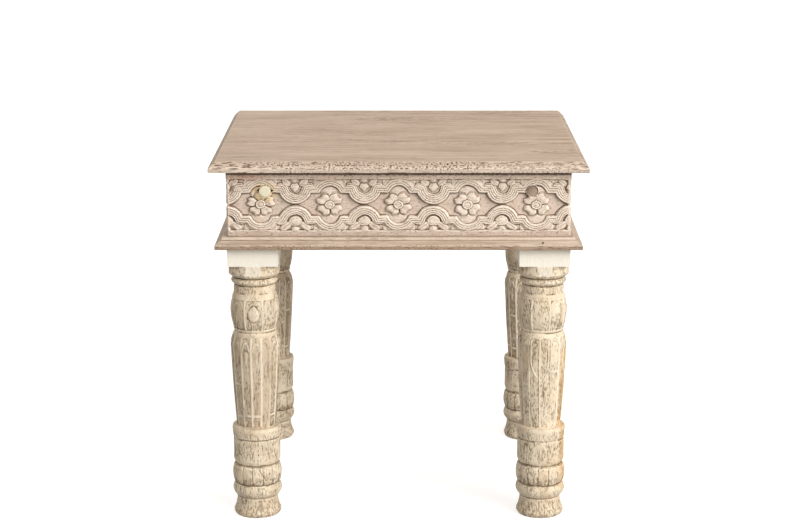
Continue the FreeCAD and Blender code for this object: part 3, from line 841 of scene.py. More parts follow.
def readPattern(tree, size, place, look):       # where each point lies in the slightly wandering pattern
    hand = look["hand"]
    strap = look["strap"]
    x, _, z = parts(tree, place)
    pitch = size["Pitch"]
    half = size["Half Height"]
    seed = size["Seed"]
    swayX = noise(tree, place, hand["drift"], 2.0, seed) - 0.5
    swayZ = noise(tree, place, hand["drift"], 2.0, seed + 7.0) - 0.5
    shake = noise(tree, place, hand["tremor"], 2.0, seed + 9.0) - 0.5
    at = SimpleNamespace(tree=tree, size=size, place=place, x=x, z=z, seed=seed)
    at.half = half
    at.depth = size["Depth"]
    at.handX = x + swayX * hand["driftX"] + shake * hand["shake"]
    handZ = z + swayZ * hand["driftZ"] - shake * hand["shake"]
    values = {0: strapWires(tree, size, look), "Sample Position": vector(tree, at.handX, 0.0, handZ)}
    near = addNode(tree, "GeometryNodeProximity", values, target_element="EDGES")
    at.away = Field(tree, near.outputs["Distance"])
    at.along = at.handX.wrap(pitch)
    at.rise = handZ - size["Middle"]
    aside = abs(at.along)
    at.between = (at.handX - pitch * 0.5).wrap(pitch)
    at.upper = strapLine(aside, pitch, half, look, look["upper"])
    at.lower = strapLine(aside, pitch, half, look, look["lower"])
    at.inside = (at.upper - at.rise).low(at.lower + at.rise).ramp(*strap["edge"])
    at.outside = 1 - at.inside
    turnOver = pitch * ((look["lobeShare"] + look["reachShare"]) / 2)
    at.beside = aside.ramp(turnOver - strap["turnOver"], turnOver + strap["turnOver"])
    at.strapHalf = size["Strap Width"] * 0.5
    return at


def strapRelief(at, look):      # ground, deepest in the cells, with reeded straps over it
    depth = at.depth
    ground = depth * (at.beside * -look["besideLobe"] - look["behindLobe"]) * at.outside - depth * at.inside
    across = at.away / at.strapHalf
    wave = abs((across * (look["reedTurns"] * math.pi)).math("COSINE"))
    reeds = (1 - wave ** look["reedRound"]) * -look["reed"]
    lip = at.rise.ramp(-look["half"], look["half"], look["lowerLip"], look["upperLip"])
    dished = at.beside * at.outside * lip       # extra reeds in a dish
    reeds = reeds - at.away.ramp(at.strapHalf, at.strapHalf + look["upperLip"]) * dished * look["lipReed"]
    onStrap = (at.away - dished).ramp(at.strapHalf + look["wall"], at.strapHalf - look["sharp"])
    return ground + (reeds - ground) * onStrap


def raised(relief, form, where, elsewhere, depth):      # a form that stands only on one side of the straps
    return relief.high(form * where - depth * elsewhere)


def flowerRelief(at, relief, look):     # four or five petals round a button, a bud above and a disc below
    form = look["flower"]
    depth = at.depth
    cell = ((at.handX / at.size["Pitch"]) + 0.5).math("FLOOR")
    luck = chance(at.tree, vector(at.tree, cell, 0.0, 0.0), at.seed)
    petalX = at.along - (luck - 0.5) * form["drift"]
    petalZ = (at.rise - form["rise"]) / form["squash"]
    reach = (petalX * petalX + petalZ * petalZ).root()
    turn = petalZ.math("ARCTAN2", petalX) + (luck - 0.5) * form["twist"]
    four = abs((turn * 2).math("SINE"))
    five = abs(((turn - math.pi / 2) * 2.5).math("COSINE"))
    leaf = four + (five - four) * luck.ramp(0.4, 0.41)
    tip = (leaf ** 0.5 * form["tipShare"] + form["neckShare"]) * (1 - leaf.ramp(0.86, 1.0) * form["notch"])
    at.spread = reach / (tip * form["reach"])
    cup = leaf.ramp(0.0, 0.4, 0.1, 1.0) * (1 - reach.ramp(*form["cup"]) * form["cupShare"])
    petals = (1 - at.spread ** 4).root() * cup * (depth - form["lowered"]) - depth
    button = reach / form["button"]
    eye = dome((button / 0.62) ** 2, form["eye"]) - form["eyeSunk"]
    rim = dome(((button - 0.86) / 0.2) ** 2, form["ring"]) - form["ring"]
    button = eye.high(rim) + button.ramp(1.04, 1.12) * -depth
    relief = raised(relief, petals, at.inside, at.outside, depth).high(button)
    parting = at.spread.ramp(0.96, 1.04) * at.spread.ramp(1.3, 1.1) * -form["parting"]      # a cut round them
    bud = look["bud"]
    budSquare = oval(petalX, at.rise - at.half * bud["upShare"], bud["wide"], bud["high"])
    budForm = dome(budSquare ** 2, depth - bud["lowered"]) - depth + parting
    disc = look["disc"]
    discSquare = oval(petalX, at.rise + at.half * disc["downShare"], disc["wide"], disc["high"])
    discForm = dome(discSquare ** 1.5, disc["rise"]) - depth + parting
    for bump in (budForm, discForm):
        relief = raised(relief, bump, at.inside, at.outside, depth)
    return relief


def halfFlower(at, edge, form, cuts):       # a knob on the strip, a leaf beyond it and a wing at each side
    depth = at.depth
    knobSquare = oval(at.between, edge, form["knob"], form["knob"])
    knob = dome(knobSquare, cuts["knobRise"]) - cuts["knobSunk"]
    taper = edge.ramp(form["petalPlace"], form["petalPlace"] + form["petalHigh"], 1.0, form["point"])
    leafSquare = oval(at.between * taper, edge - form["petalPlace"], form["petalWide"], form["petalHigh"])
    leaf = dome(leafSquare ** 3, depth - cuts["leafSunk"])
    leaf = leaf - abs(leafSquare.root() - 0.62).ramp(0.14, 0.0) * cuts["leafLine"]
    side = abs(at.between) - form["wingOut"]
    lift = edge - form["wingUp"]
    vein = lift * cuts["along"] + side * cuts["aside"]
    reach = side * cuts["along"] - lift * cuts["aside"]
    wing = dome(oval(reach, vein, form["wingLong"], form["wingWide"]) ** 3, depth - cuts["wingSunk"])
    wing = wing - abs(vein).ramp(cuts["vein"], 0.0) * cuts["vein"]
    ringCut = abs(knobSquare.root() - 1.12).ramp(0.2, 0.0) * -cuts["ringCut"]
    return (leaf.high(wing) - depth + ringCut).high(knob)


def stripCuts(at, relief, look):        # border lines, plain strips, and a fade towards the ends
    border = abs(at.away - at.strapHalf - look["border"]).ramp(look["borderWide"], 0.0)
    relief = relief + border * at.outside * (1 - at.beside) * -look["borderCut"]
    at.inField = abs(at.rise).ramp(at.half + look["soft"], at.half - look["soft"])
    broken = noise(at.tree, at.place, look["cutScale"], 2.0, at.seed).ramp(0.4, 0.6, 0.15, 1.0)
    cutLine = (((abs(at.rise) - at.half) / look["cutWide"]) ** 2 * -1).math("EXPONENT") * broken
    relief = relief * at.inField - cutLine * look["cutDeep"]
    return relief * at.fromEnd.ramp(*look["fade"])


def chiselMarks(at, relief, look):      # chips, facets and worn arrises
    at.chips = noise(at.tree, at.place, look["chipScale"], 3.0, at.seed + 3.0, 0.6) - 0.5
    source = stretched(at.tree, at.place, look["facetStretch"])
    facets = noise(at.tree, source, look["facetScale"], 1.0, at.seed + 4.0) - 0.5
    relief = relief + at.chips * look["chips"] + facets * look["facets"] * at.inField
    edges = at.z.low(at.size["Height"] - at.z).ramp(*look["edges"])
    return relief + edges + at.fromEnd.ramp(*look["ends"])


def friezeShadeAndSoot(at, relief, look):      # painted shade with some soot: a dark line under the top, and painted shadows in deep cuts away from the light
    below = at.rise.ramp(*look["below"])
    shadowUnderTop = (at.size["Height"] - at.z + (at.chips * look["wander"])).ramp(*look["shadowUnderTop"])
    deepDown = (relief / at.depth * -1).ramp(0.45, 0.8)
    # painted shadow under the upper strap and outside the lower one, stronger on the side away from the light
    shaded = (at.inside * (at.upper - at.rise)).ramp(*look["upperStrap"]) * at.inside
    shaded = shaded.high(at.outside * at.beside * (at.rise * -1 - at.lower).ramp(*look["lowerStrap"]) * below)
    shaded = shaded * at.along.ramp(*look["fromLight"])
    # painted shadow along the left flank of the lower strap
    flankShadow = at.outside * below
    flankShadow = flankShadow * at.away.ramp(at.strapHalf + look["flankOut"], at.strapHalf + look["flankFull"])
    flankShadow = flankShadow * at.away.ramp(at.strapHalf, at.strapHalf + look["flankIn"])
    flankShadow = flankShadow * at.along.ramp(*look["flankRight"]) * at.along.ramp(*look["flankLeft"])
    # painted shadow at the left of the petals
    petalShade = at.spread.ramp(1.22, 1.06) * at.spread.ramp(1.0, 1.04)
    petalShade = petalShade * at.along.ramp(*look["petalLeft"]) * at.inside
    shadeAndSoot = shadowUnderTop * look["shadowUnderTopShare"]
    shadeAndSoot = shadeAndSoot.high(shaded * deepDown * (at.chips * 0.6 + 0.44))
    # the plain bottom strip is made slightly darker
    shadeAndSoot = shadeAndSoot.high((1 - at.inField) * at.rise.ramp(*look["lowerHalf"]) * look["bottomStrip"])
    return shadeAndSoot.high(flankShadow * (at.chips * 0.8 + 0.5)).high(petalShade * deepDown * (at.chips * 0.8 + 0.4))


def plugHoles(at, relief, shadeAndSoot, look):     # the holes of the plugs, with what is round the two in front, and painted shade in the gaps beside them
    plug = look["plug"]
    glue = look["glue"]
    gap = look["darkGap"]
    front = at.size["Halo"]
    up = at.z - at.size["Plug Height"]
    for way, rim in ((-1, plug["leftRim"]), (1, plug["rightRim"])):
        over = at.x - at.size["Plug Place"] * way
        off = (over * over + up * up).root()
        rimFlat = off.ramp(*rim)
        relief = relief * (1 - rimFlat) + relief.high(-plug["rimSunk"]) * rimFlat
        relief = relief.low(off.ramp(*plug["lip"]) - (at.size["Sink"] * off.ramp(*plug["wall"])))
        if way < 0:         # ochre glue round the pale plug, and a gap left open at either side of it, darkened with painted shade
            at.halo = off.ramp(*glue["halo"]) * up.ramp(*glue["haloTop"]) * front
            tooth = glue["gapHigh"] - abs(over) * glue["gapSlope"] - abs(up - glue["gapUp"])
            tooth = tooth.ramp(*glue["gapSoft"]) * off.ramp(*glue["gapStart"]) * front
            relief = relief - tooth * glue["gapDeep"]
            shadeAndSoot = shadeAndSoot.high(tooth)
        else:               # painted shade for a gap on the left of the dark plug, with nothing cut there
            dark = off.ramp(*gap["start"]) * off.ramp(*gap["end"]) * over.ramp(*gap["side"])
            shadeAndSoot = shadeAndSoot.high(dark * front * gap["share"])
    return relief, shadeAndSoot


def friezeBlush(at, look):      # two reddish stains on the front's plain strips
    along, down, wide, high = look["left"]
    left = oval(at.x - along, at.size["Height"] - at.z - down, wide, high).ramp(1.3, 0.2) * look["leftShare"]
    along, up, wide, high = look["right"]
    right = oval(at.x - along, at.z - up, wide, high).ramp(1.4, 0.2) * look["rightShare"]
    return left.high(right) * at.size["Halo"]


def carvedFriezeTree(look):
    sizes = {"Count": 5, "Pitch": look["pitch"], "Half Length": 0.25, "Height": 0.1, "Middle": 0.048,
             "Half Height": 0.038, "Depth": look["depth"], "Strap Width": look["strap"]["wide"],
             "Plug Place": 0.2, "Plug Height": 0.068, "Sink": look["plug"]["sink"], "Halo": 0.0, "Seed": 0.0}
    tree, start, size, place = newTree("carvedFrieze", sizes)
    at = readPattern(tree, size, place, look)
    at.fromEnd = size["Half Length"] - abs(at.x)
    relief = flowerRelief(at, strapRelief(at, look["strap"]), look)
    for form, edge in (("topBloom", at.half - at.rise), ("bottomBloom", at.half + at.rise)):
        flower = halfFlower(at, edge, look[form], look["bloom"])
        relief = raised(relief, flower, at.outside, at.inside, at.depth)
    relief = chiselMarks(at, stripCuts(at, relief, look["field"]), look["chisel"])
    relief, shadeAndSoot = plugHoles(at, relief, friezeShadeAndSoot(at, relief, look["shadeAndSoot"]), look)
    relief = relief.low(0.0) * recall(tree, "worked")

    pull = abs(at.x).ramp(size["Half Length"] - look["endBlend"], size["Half Length"])
    shift = at.x.math("SIGN") * relief * pull       # keeps the ends on the mitre as the face sinks
    geometry = moveBy(tree, start, vector(tree, shift, relief * -1, 0.0))
    kept = recall(tree, "relief")
    belowField = at.rise.ramp(-at.half, at.half * -1 - look["field"]["belowSoft"])
    sunk = (kept / at.depth * -1).ramp(0.25, 0.9).high(belowField)
    geometry = keep(tree, geometry, {"relief": relief, "sunk": sunk})
    geometry = keepHollows(tree, geometry, kept, look["hollows"])
    flat = 1 - at.inField
    fields = {"shadeAndSoot": shadeAndSoot, "halo": at.halo, "flat": flat,
              # painted light on the upper plain strip
              "strip": flat * at.rise.ramp(*look["field"]["upperHalf"]),
              "blush": friezeBlush(at, look["blushes"])}
    return closeTree(tree, start, keep(tree, geometry, fields))


def apronSide(node):        # length, distance of the face from the middle, foot, height and thickness
    low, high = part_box(node)
    long, thin = (0, 1) if high.x - low.x > high.y - low.y else (1, 0)
    gap = max(abs(low[thin]), abs(high[thin]))
    return high[long] - low[long], gap, low.z, high.z - low.z, high[thin] - low[thin]


def carveAprons(look):
    tree = carvedFriezeTree(look)
    long, _, bottom = apronSide("front_apron")[:3]
    low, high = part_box("front_plug_left")
    plugFromEnd = long / 2 + (low.x + high.x) / 2
    plugHigh = (low.z + high.z) / 2 - bottom
    for seed, (side, turn) in enumerate(sideTurns.items()):
        long, gap, bottom, tall, thick = apronSide(side + "_apron")
        count = round(long / look["pitch"])
        across = np.linspace(-long / 2, long / 2, round(long / look["step"]) + 1)
        upward = np.linspace(0, tall, round(tall / look["step"]) + 1)
        blank = reliefBlank("apron", across, upward, [(thick, thick, 0.0)])
        values = {"Count": count, "Pitch": long / count, "Half Length": long / 2, "Height": tall,
                  "Half Height": (tall - look["topStrip"] - look["bottomStrip"]) / 2,
                  "Middle": (tall - look["topStrip"] + look["bottomStrip"]) / 2,
                  "Plug Place": long / 2 - plugFromEnd, "Plug Height": plugHigh,
                  "Halo": float(side == "front"), "Seed": float(seed), "Finish": apronFinish}
        mesh = grow("apron", blank, tree, values)
        shiftGrain(mesh, seed)
        place = Matrix.Rotation(math.radians(turn), 4, "Z") @ Matrix.Translation((0, -gap, bottom))
        setPiece(side + "Apron", mesh, place, [side + "_apron"])


carveAprons(carvedFrieze)
print("aprons carved")


# Plugs over the screw heads: turned discs of end grain with a softened rim
plugShape = {
    "segments": 48, "soften": 0.0007, "crown": 0.0003, "grainGap": 0.0003,
    "rings": ((0.25, 1.0), (0.6, 0.8)), "lastRing": 0.3,      # share of the radius, share of the crown left
    "cell": 0.012, "reach": 0.014,      # points in one cell, and boxes this near, belong to one plug
}


def plugDisc(radius, long, look):       # points, faces and marks of a plug facing -Y, its back at y = long
    segments = look["segments"]
    crown = look["crown"]
    rings = (*look["rings"], (1 - look["soften"] / radius, look["lastRing"]))
    levels = [(share * radius, crown - crown * left) for share, left in rings]
    levels += [(radius, look["soften"]), (radius, long)]
    points = [(0.0, 0.0, 0.0)]
    marks = [0.0]
    for number, (reach, back) in enumerate(levels):
        for k in range(segments):
            angle = fullTurn * k / segments
            points.append((reach * math.cos(angle), back, reach * math.sin(angle)))
            marks.append(1.0 if number >= len(rings) else 0.0)
    faces = [(0, 1 + k, 1 + (k + 1) % segments) for k in range(segments)]
    for row in range(len(levels) - 1):
        for k in range(segments):
            a = 1 + row * segments + k
            b = 1 + row * segments + (k + 1) % segments
            faces.append((a, a + segments, b + segments, b))
    last = 1 + (len(levels) - 1) * segments
    faces.append(tuple(range(last, last + segments)))
    return points, faces, marks


def solids(node, look):     # the separate solids of a node, as boxes
    spots = np.array([v.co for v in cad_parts[node].data.vertices])
    keys = np.round(spots / look["cell"]).astype(int)
    boxes = []
    for key in sorted({tuple(k) for k in keys.tolist()}):
        points = spots[(keys == key).all(axis=1)]
        low, high = points.min(0), points.max(0)
        joinedTo = [b for b in boxes if ((b[0] - look["reach"] < high) & (b[1] + look["reach"] > low)).all()]
        for b in joinedTo:
            low, high = np.minimum(low, b[0]), np.maximum(high, b[1])
            boxes = [c for c in boxes if c is not b]
        boxes.append((low, high))
    return boxes


def setPlugs(name, boxes, finish, node, look):
    points = []
    faces = []
    coords = []
    marks = []
    for low, high in boxes:
        low, high = Vector(low), Vector(high)
        middle = (low + high) / 2
        spread = high - low
        alongX = spread.x < spread.y or (abs(middle.x) > abs(middle.y) and abs(spread.x - spread.z) > 1e-4)
        outward = Vector((math.copysign(1, middle.x), 0, 0))
        if not alongX:
            outward = Vector((0, math.copysign(1, middle.y), 0))
        long = spread.x if alongX else spread.y
        discPoints, discFaces, discMarks = plugDisc(spread.z / 2, long, look)
        turn = Matrix.Rotation(math.atan2(outward.x, -outward.y), 4, "Z")
        place = Matrix.Translation(middle + outward * long / 2) @ turn
        base = len(points)
        points += [tuple(place @ Vector(p)) for p in discPoints]
        coords += [(p[0], p[1], p[2] + look["grainGap"] * base) for p in discPoints]
        marks += discMarks
        faces += [tuple(base + k for k in face) for face in discFaces]
    mesh = makeMesh(name, points, faces, coords, marks)
    mesh.materials.append(finish)
    setPiece(name, mesh, Matrix.Identity(4), [node], 40)


for name, node, slot, look in (("palePlug", "front_plug_left", "pale_plug", palePlug),
                               ("darkPlug", "front_plug_right", "dark_plug", darkPlug)):
    setPlugs(name, [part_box(node)], plugFinish(name, look), node, plugShape)
setPlugs("sideAndRearPlugs", solids("side_and_rear_plugs", plugShape), plugFinish("limedPlug", limedPlug),
         "side_and_rear_plugs", plugShape)
print("plugs set")


# Base frame: moulded rails, mitred at the corners
mouldedRail = {
    "step": 0.004, "overhang": 0.017, "inside": 0.072, "bead": 0.007, "beadHigh": 0.004, "beadRound": 0.002,
    "bevelHigh": 0.0065, "arris": 0.0007, "wave": 0.0003, "dents": (30, 60, 60),
    "shown": (0.001, 0.004), "lipEdge": 0.0025, "arrisRub": (0.0012, 0.0003),
}


def railProfile(look, high):        # (distance outwards from the apron face, height), round the section
    out = look["overhang"]
    bead = look["bead"]
    beadLow = high - look["beadHigh"]
    lip = beadLow - look["bevelHigh"]
    small = look["arris"]
    slope = (bead - out) / look["bevelHigh"]
    points = [(-look["inside"], 0.0), (out * 0.3, 0.0), (out - small, 0.0), (out, small), (out, lip * 0.5),
              (out, lip - small * 2), (out, lip - small * 0.6), (out + slope * small, lip + small)]
    for share in (0.3, 0.6, 0.9):
        points.append((out + slope * look["bevelHigh"] * share, lip + look["bevelHigh"] * share))
    points += [(bead, beadLow), (bead, beadLow + small), (bead, high - look["beadRound"])]
    for degrees in (30, 60, 90):
        angle = math.radians(degrees)
        points.append((bead - look["beadRound"] * (1 - math.cos(angle)),
                       high - look["beadRound"] * (1 - math.sin(angle))))
    points += [(0.0, high), (-look["inside"], high)]
    return points


def railBlank(long, look, high):
    section = railProfile(look, high)
    count = round(long / look["step"])
    points = []
    for k in range(count + 1):
        share = 2 * k / count - 1
        points += [(share * (long / 2 + out), -out, z) for out, z in section]
    faces = tubeFaces(count + 1, len(section))
    return makeMesh("rail", points, faces, np.array(points), np.ones(len(points)))


def wornRailTree(look):     # shallow dents and a lightly wandering edge, always inwards
    sizes = {"Wave": look["wave"], "Overhang": look["overhang"], "Height": 0.017, "Seed": 0.0}
    tree, start, size, place = newTree("wornRail", sizes)
    _, y, z = parts(tree, place)
    dents = streaked(tree, place, look["dents"], 3.0, size["Seed"])
    shown = (y * -1).ramp(*look["shown"])
    geometry = moveBy(tree, start, vector(tree, 0.0, dents * size["Wave"] * shown, 0.0))
    lipEdge = (size["Overhang"] + y).ramp(look["lipEdge"], 0.0)
    beadLow = size["Height"] - look["beadHigh"]
    # a dark line in the crease at the foot of the bead
    underBead = abs(beadLow - z).ramp(look["arris"], 0.0) * shown
    arris = abs(beadLow - look["bevelHigh"] - z).ramp(*look["arrisRub"])
    onBead = z.ramp(beadLow + look["arris"] * 0.5, beadLow + look["arris"])
    rubbed = (arris * 0.6).high(onBead * shown * 0.4)
    fields = {"ridge": rubbed, "beadFootLine": underBead, "rim": lipEdge, "lip": lipEdge}
    return closeTree(tree, start, keep(tree, geometry, fields))


def layRails(look):
    tree = wornRailTree(look)
    for seed, (side, turn) in enumerate(sideTurns.items()):
        long, gap = apronSide(side + "_apron")[:2]
        low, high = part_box("base_rail_" + side)
        blank = railBlank(long, look, high.z - low.z)
        values = {"Height": high.z - low.z, "Seed": float(seed), "Finish": railFinish}
        mesh = grow("rail", blank, tree, values)
        shiftGrain(mesh, seed)
        place = Matrix.Rotation(math.radians(turn), 4, "Z") @ Matrix.Translation((0, -gap, low.z))
        setPiece("baseRail" + side.title(), mesh, place, ["base_rail_" + side], 35)


layRails(mouldedRail)
print("rails laid")


# Legs: turned members below a square block, carved with ribs, leaves and gadroons
turnedLeg = {       # metres; pairs and fours are soft steps; whole threes are noise spots per metre
    "columns": 272, "step": 0.00135, "block": 0.076, "tongueLow": 0.3815, "sole": 0.0335,
    "heights": {"foot": 0.026, "neck": 0.004, "torus": 0.0205, "ring": 0.034, "cup": 0.0385,
                "band": 0.020, "shaft": 0.122, "crown": 0.027, "bulb": 0.060, "fillet": 0.012,
                "bead": 0.0115, "round": 0.0215, "block": 0.029},
    # member, end radius, share of its height at the end, and a middle (radius, share) where the line is bent
    "strokes": (("foot", 0.0364, 0.3, (0.0357, 0.12)), ("foot", 0.0316, 1.0, (0.0329, 0.66)),
                ("neck", 0.0316, 1.0, None), ("torus", 0.0349, 1.0, (0.0375, 0.68)),
                ("ring", 0.0342, 1.0, (0.0378, 0.5)), ("cup", 0.0360, 0.3, (0.0356, 0.12)),
                ("cup", 0.0360, 1.0, None), ("band", 0.0364, 0.0, None), ("band", 0.0374, 0.72, None),
                ("band", 0.0364, 0.95, None), ("band", 0.0302, 1.0, None),
                ("shaft", 0.0374, 1.0, (0.0345, 0.5)), ("crown", 0.0315, 1.0, (0.0364, 0.55)),
                ("bulb", 0.0318, 1.0, (0.0378, 0.5)), ("fillet", 0.0318, 0.8, None),
                ("fillet", 0.0297, 1.0, None), ("bead", 0.0315, 1.0, (0.0355, 0.55)),
                ("round", 0.0395, 0.5, (0.0370, 0.15)), ("round", 0.0395, 1.0, None),
                ("block", 0.0760, 0.0, None), ("block", 0.0760, 1.0, None)),
    "ribs": 14, "ribWide": 0.0019, "panelDeep": 0.0007, "bulbPanels": 8,
    "sway": (14, 14, 9), "rough": (260, 260, 170), "spokeSway": 0.22,
    "blockEdge": {"start": 0.0001, "flat": 0.00002, "tongue": 0.001},
    "shaft": {"topGap": 0.006, "barHigh": 0.0009, "archDrop": 0.003, "wall": (0.0, 0.0016),
              "ribStart": 0.002, "ribDraw": 23.0, "deepDraw": 9, "pitDraw": 11,
              "fade": (0.255, 0.19, 0.75, 1.0),
              "bars": ((1, 5, 0.222, 0.03), (2, 6, 0.163, 0.008)),      # two draws, level and its spread
              "arch": (0.264, 0.0052, 0.013), "archStart": (0.262, 0.266),      # level and half sizes
              "drop": (0.254, 0.0038, 0.0105), "dropTaper": (0.243, 0.262, 2.0, 1.0)},
    "leaf": {"foot": 0.222, "rise": 0.024, "wide": 0.0138, "line": (0.0016, 0.0003),
             "lineStart": (0.2215, 0.223), "rib": (0.0014, 0.0003), "edge": (0.0174, 0.0156),
             "zone": (0.150, 0.283), "sway": 0.003, "deep": 0.0008, "pits": 0.55},
    "bulb": {"footGap": 0.004, "topGap": 0.008, "sway": 0.12, "rib": (0.0006, 0.0019), "ribShare": 0.8,
             "arcDown": 0.004, "arcWide": 0.0034, "arcHigh": 0.0066, "arcLow": 0.006, "arcFull": 0.008,
             "arcDraw": 13, "deep": 0.0008, "pitTop": 0.01, "bossUp": 0.001, "bossWide": 0.0084,
             "bossHigh": 0.0112, "bossTaper": 0.016, "bossRise": 0.0012, "bossSunk": 0.0005,
             "bossCut": 0.0007},
    "collar": {"cutUp": 0.001, "cutSway": 0.004, "cut": 0.0015, "ticks": 26, "tickLow": 0.003,
               "tickHigh": 0.011, "tickDeep": 0.0005, "tickScale": 40.0, "arcDown": 0.006,
               "arcDrop": 0.018, "arc": (0.0013, 0.0003), "cupGap": 0.006, "pitLow": 0.001,
               "pitHigh": 0.006, "bandPits": 0.5, "cupPits": 0.44},
    "ring": {"halfHigh": 0.0146, "down": 0.001, "deep": 0.0012, "pitHigh": 0.017, "pitLow": 0.006,
             "dirtHigh": 0.003, "dirtLow": 0.008},
    "joint": {"line": (0.0019, 0.0004), "deep": 0.0009, "drift": 0.0015, "bandDrift": 0.008,
              "gaps": (80, 80, 16)},
    "mottled": {"edge": 0.001, "shade": 0.012, "shadeSoft": 0.004, "uppers": 0.38, "underBlock": 0.6,
                "torus": 0.42, "foot": 0.62},
    "stain": {"turn": (0.66, 1.05), "zone": (0.034, 0.275, 0.02)},
    "agedAndShaded": {"footGap": 0.004, "soft": 0.008, "bulbShare": 0.6},
    "worn": {"stretch": (70, 70, 34), "patch": 0.00045, "pitted": 0.0008, "all": 0.0002, "block": 0.00012},
    "hollows": ((0.0015, 7), (0.0009, 2)), "reachShare": 0.6,
    # Aged And Shaded is partly age, partly painted shade on the left-hand legs, further from the light
    "kinds": {"front_left": {"Phase": 0.315, "Face Turn": 0.01, "Boss": 1.0, "Aged And Shaded": 0.68, "Seed": 1.0},
              "front_right": {"Phase": 0.33, "Face Turn": -0.15, "Leaf": 1.0, "Stain": 1.0, "Seed": 2.0},
              "rear_left": {"Phase": 0.2, "Face Turn": 0.1, "Leaf": 1.0, "Aged And Shaded": 0.48, "Seed": 3.0},
              "rear_right": {"Phase": 0.3, "Boss": 1.0, "Seed": 4.0}},
}


def memberLevels(look):         # (low, high) of each member above the floor
    levels = {}
    low = 0.0
    for name, high in look["heights"].items():
        levels[name] = (low, low + high)
        low += high
    return levels


def legProfile(look):       # radius and height of each row of points, from the sole up
    levels = memberLevels(look)
    line = [(look["sole"], 0.0)]
    for member, radius, share, bend in look["strokes"]:
        low, high = levels[member]
        start = np.array(line[-1])
        end = np.array((radius, low + (high - low) * share))
        stops = np.linspace(0, 1, max(2, math.ceil(np.linalg.norm(end - start) / look["step"])) + 1)[1:]
        if bend is None:
            line += [tuple(start + (end - start) * t) for t in stops]
            continue
        middle = np.array((bend[0], low + (high - low) * bend[1]))
        knee = (middle[1] - start[1]) / (end[1] - start[1])
        for t in stops:         # a parabola through the three points, told by height
            a = (t - knee) * (t - 1) / knee * start[0]
            b = t * (t - 1) / (knee * (knee - 1)) * middle[0]
            c = t * (t - knee) / (1 - knee) * end[0]
            line.append((a + b + c, start[1] + (end[1] - start[1]) * t))
    return line


def legBlank(look):
    line = legProfile(look)
    columns = look["columns"]
    half = look["block"] / 2
    points = []
    for radius, z in line:
        for k in range(columns):
            angle = fullTurn * k / columns
            side = half / max(abs(math.sin(angle)), abs(math.cos(angle)))
            reach = min(radius, side)
            points.append((reach * math.sin(angle), -reach * math.cos(angle), z))
    faces = tubeFaces(len(line), columns)
    return makeMesh("leg", points, faces, np.array(points), np.ones(len(points)))


def zone(z, low, high, soft=0.0015):        # 1 between two heights, 0 beyond them
    return z.ramp(low, low + soft) * z.ramp(high, high - soft)


def readLeg(tree, size, place, look):       # where each point lies on the leg
    x, y, z = parts(tree, place)
    levels = memberLevels(look)
    at = SimpleNamespace(tree=tree, size=size, place=place, levels=levels, x=x, y=y, z=z, seed=size["Seed"])
    at.radius = (x * x + y * y).root()
    at.turn = x.math("ARCTAN2", y * -1)
    edge = look["blockEdge"]
    blockLow = levels["round"][1]
    onBlock = z.ramp(blockLow - edge["start"], blockLow)
    halfBlock = size["Block"] * 0.5
    flatFace = abs(x).high(abs(y)).ramp(halfBlock - edge["start"], halfBlock - edge["flat"])
    at.clean = onBlock.high(flatFace * z.ramp(look["tongueLow"] - edge["tongue"], look["tongueLow"]))
    at.sway = streaked(tree, place, look["sway"], 2.0, at.seed) - 0.5
    at.rough = streaked(tree, place, look["rough"], 3.0, at.seed, 0.6)
    at.plain = at.turn * (size["Ribs"] / fullTurn) + size["Phase"]
    at.spoke = at.plain + at.sway * look["spokeSway"]
    at.cell = at.spoke.math("FLOOR")
    at.share = at.spoke - at.cell - 0.5
    at.arc = at.radius * fullTurn / size["Ribs"]
    at.face = at.turn - size["Face Turn"]
    return at


def panelLuck(at, number):       # one of the draws of each panel
    return chance(at.tree, vector(at.tree, at.cell, float(number), 0.0), at.seed)


def carveShaft(at, look):       # sunk panels between thin ribs, arched at the top, crossed by a few bars
    z = at.z
    panelX = at.share * at.arc
    at.shaftLow = at.levels["band"][1]
    at.shaftTop = at.levels["crown"][1] - look["topGap"]
    fromRib = (0.5 - abs(at.share)) * at.arc - at.size["Rib Width"] * 0.5
    inPanel = fromRib.low(at.shaftTop - z - (at.share * 2) ** 2 * look["archDrop"]).low(z - at.shaftLow)
    for draw, gapDraw, level, spread in look["bars"]:
        bar = abs(z - (panelLuck(at, draw) - 0.5) * spread - level) - look["barHigh"]
        inPanel = inPanel.low(bar + panelLuck(at, gapDraw).ramp(0.45, 0.46))
    at.panel = inPanel.ramp(*look["wall"])
    level, wide, high = look["arch"]
    arch = abs(oval(panelX, z - level, wide, high).root() - 1).ramp(0.28, 0.05) * z.ramp(*look["archStart"])
    level, wide, high = look["drop"]
    drop = dome(oval(panelX * z.ramp(*look["dropTaper"]), z - level, wide, high), 1.0)
    deep = at.size["Panel Depth"] * (panelLuck(at, look["deepDraw"]) * 0.8 + 0.6)
    at.relief = (arch.high(drop) - 1) * at.panel * deep
    at.pitted = at.panel * (1 - arch.high(drop)) * (panelLuck(at, look["pitDraw"]) * 0.9 + 0.32)
    at.pitted = at.pitted * z.ramp(*look["fade"])
    ribLuck = chance(at.tree, vector(at.tree, (at.spoke + 0.5).math("FLOOR"), look["ribDraw"], 0.0), at.seed)
    at.ribWear = ribLuck.ramp(0.2, 0.7, 0.25, 1.0)      # some ribs are worn nearly away
    at.shaftZone = zone(z, at.shaftLow + look["ribStart"], at.shaftTop)


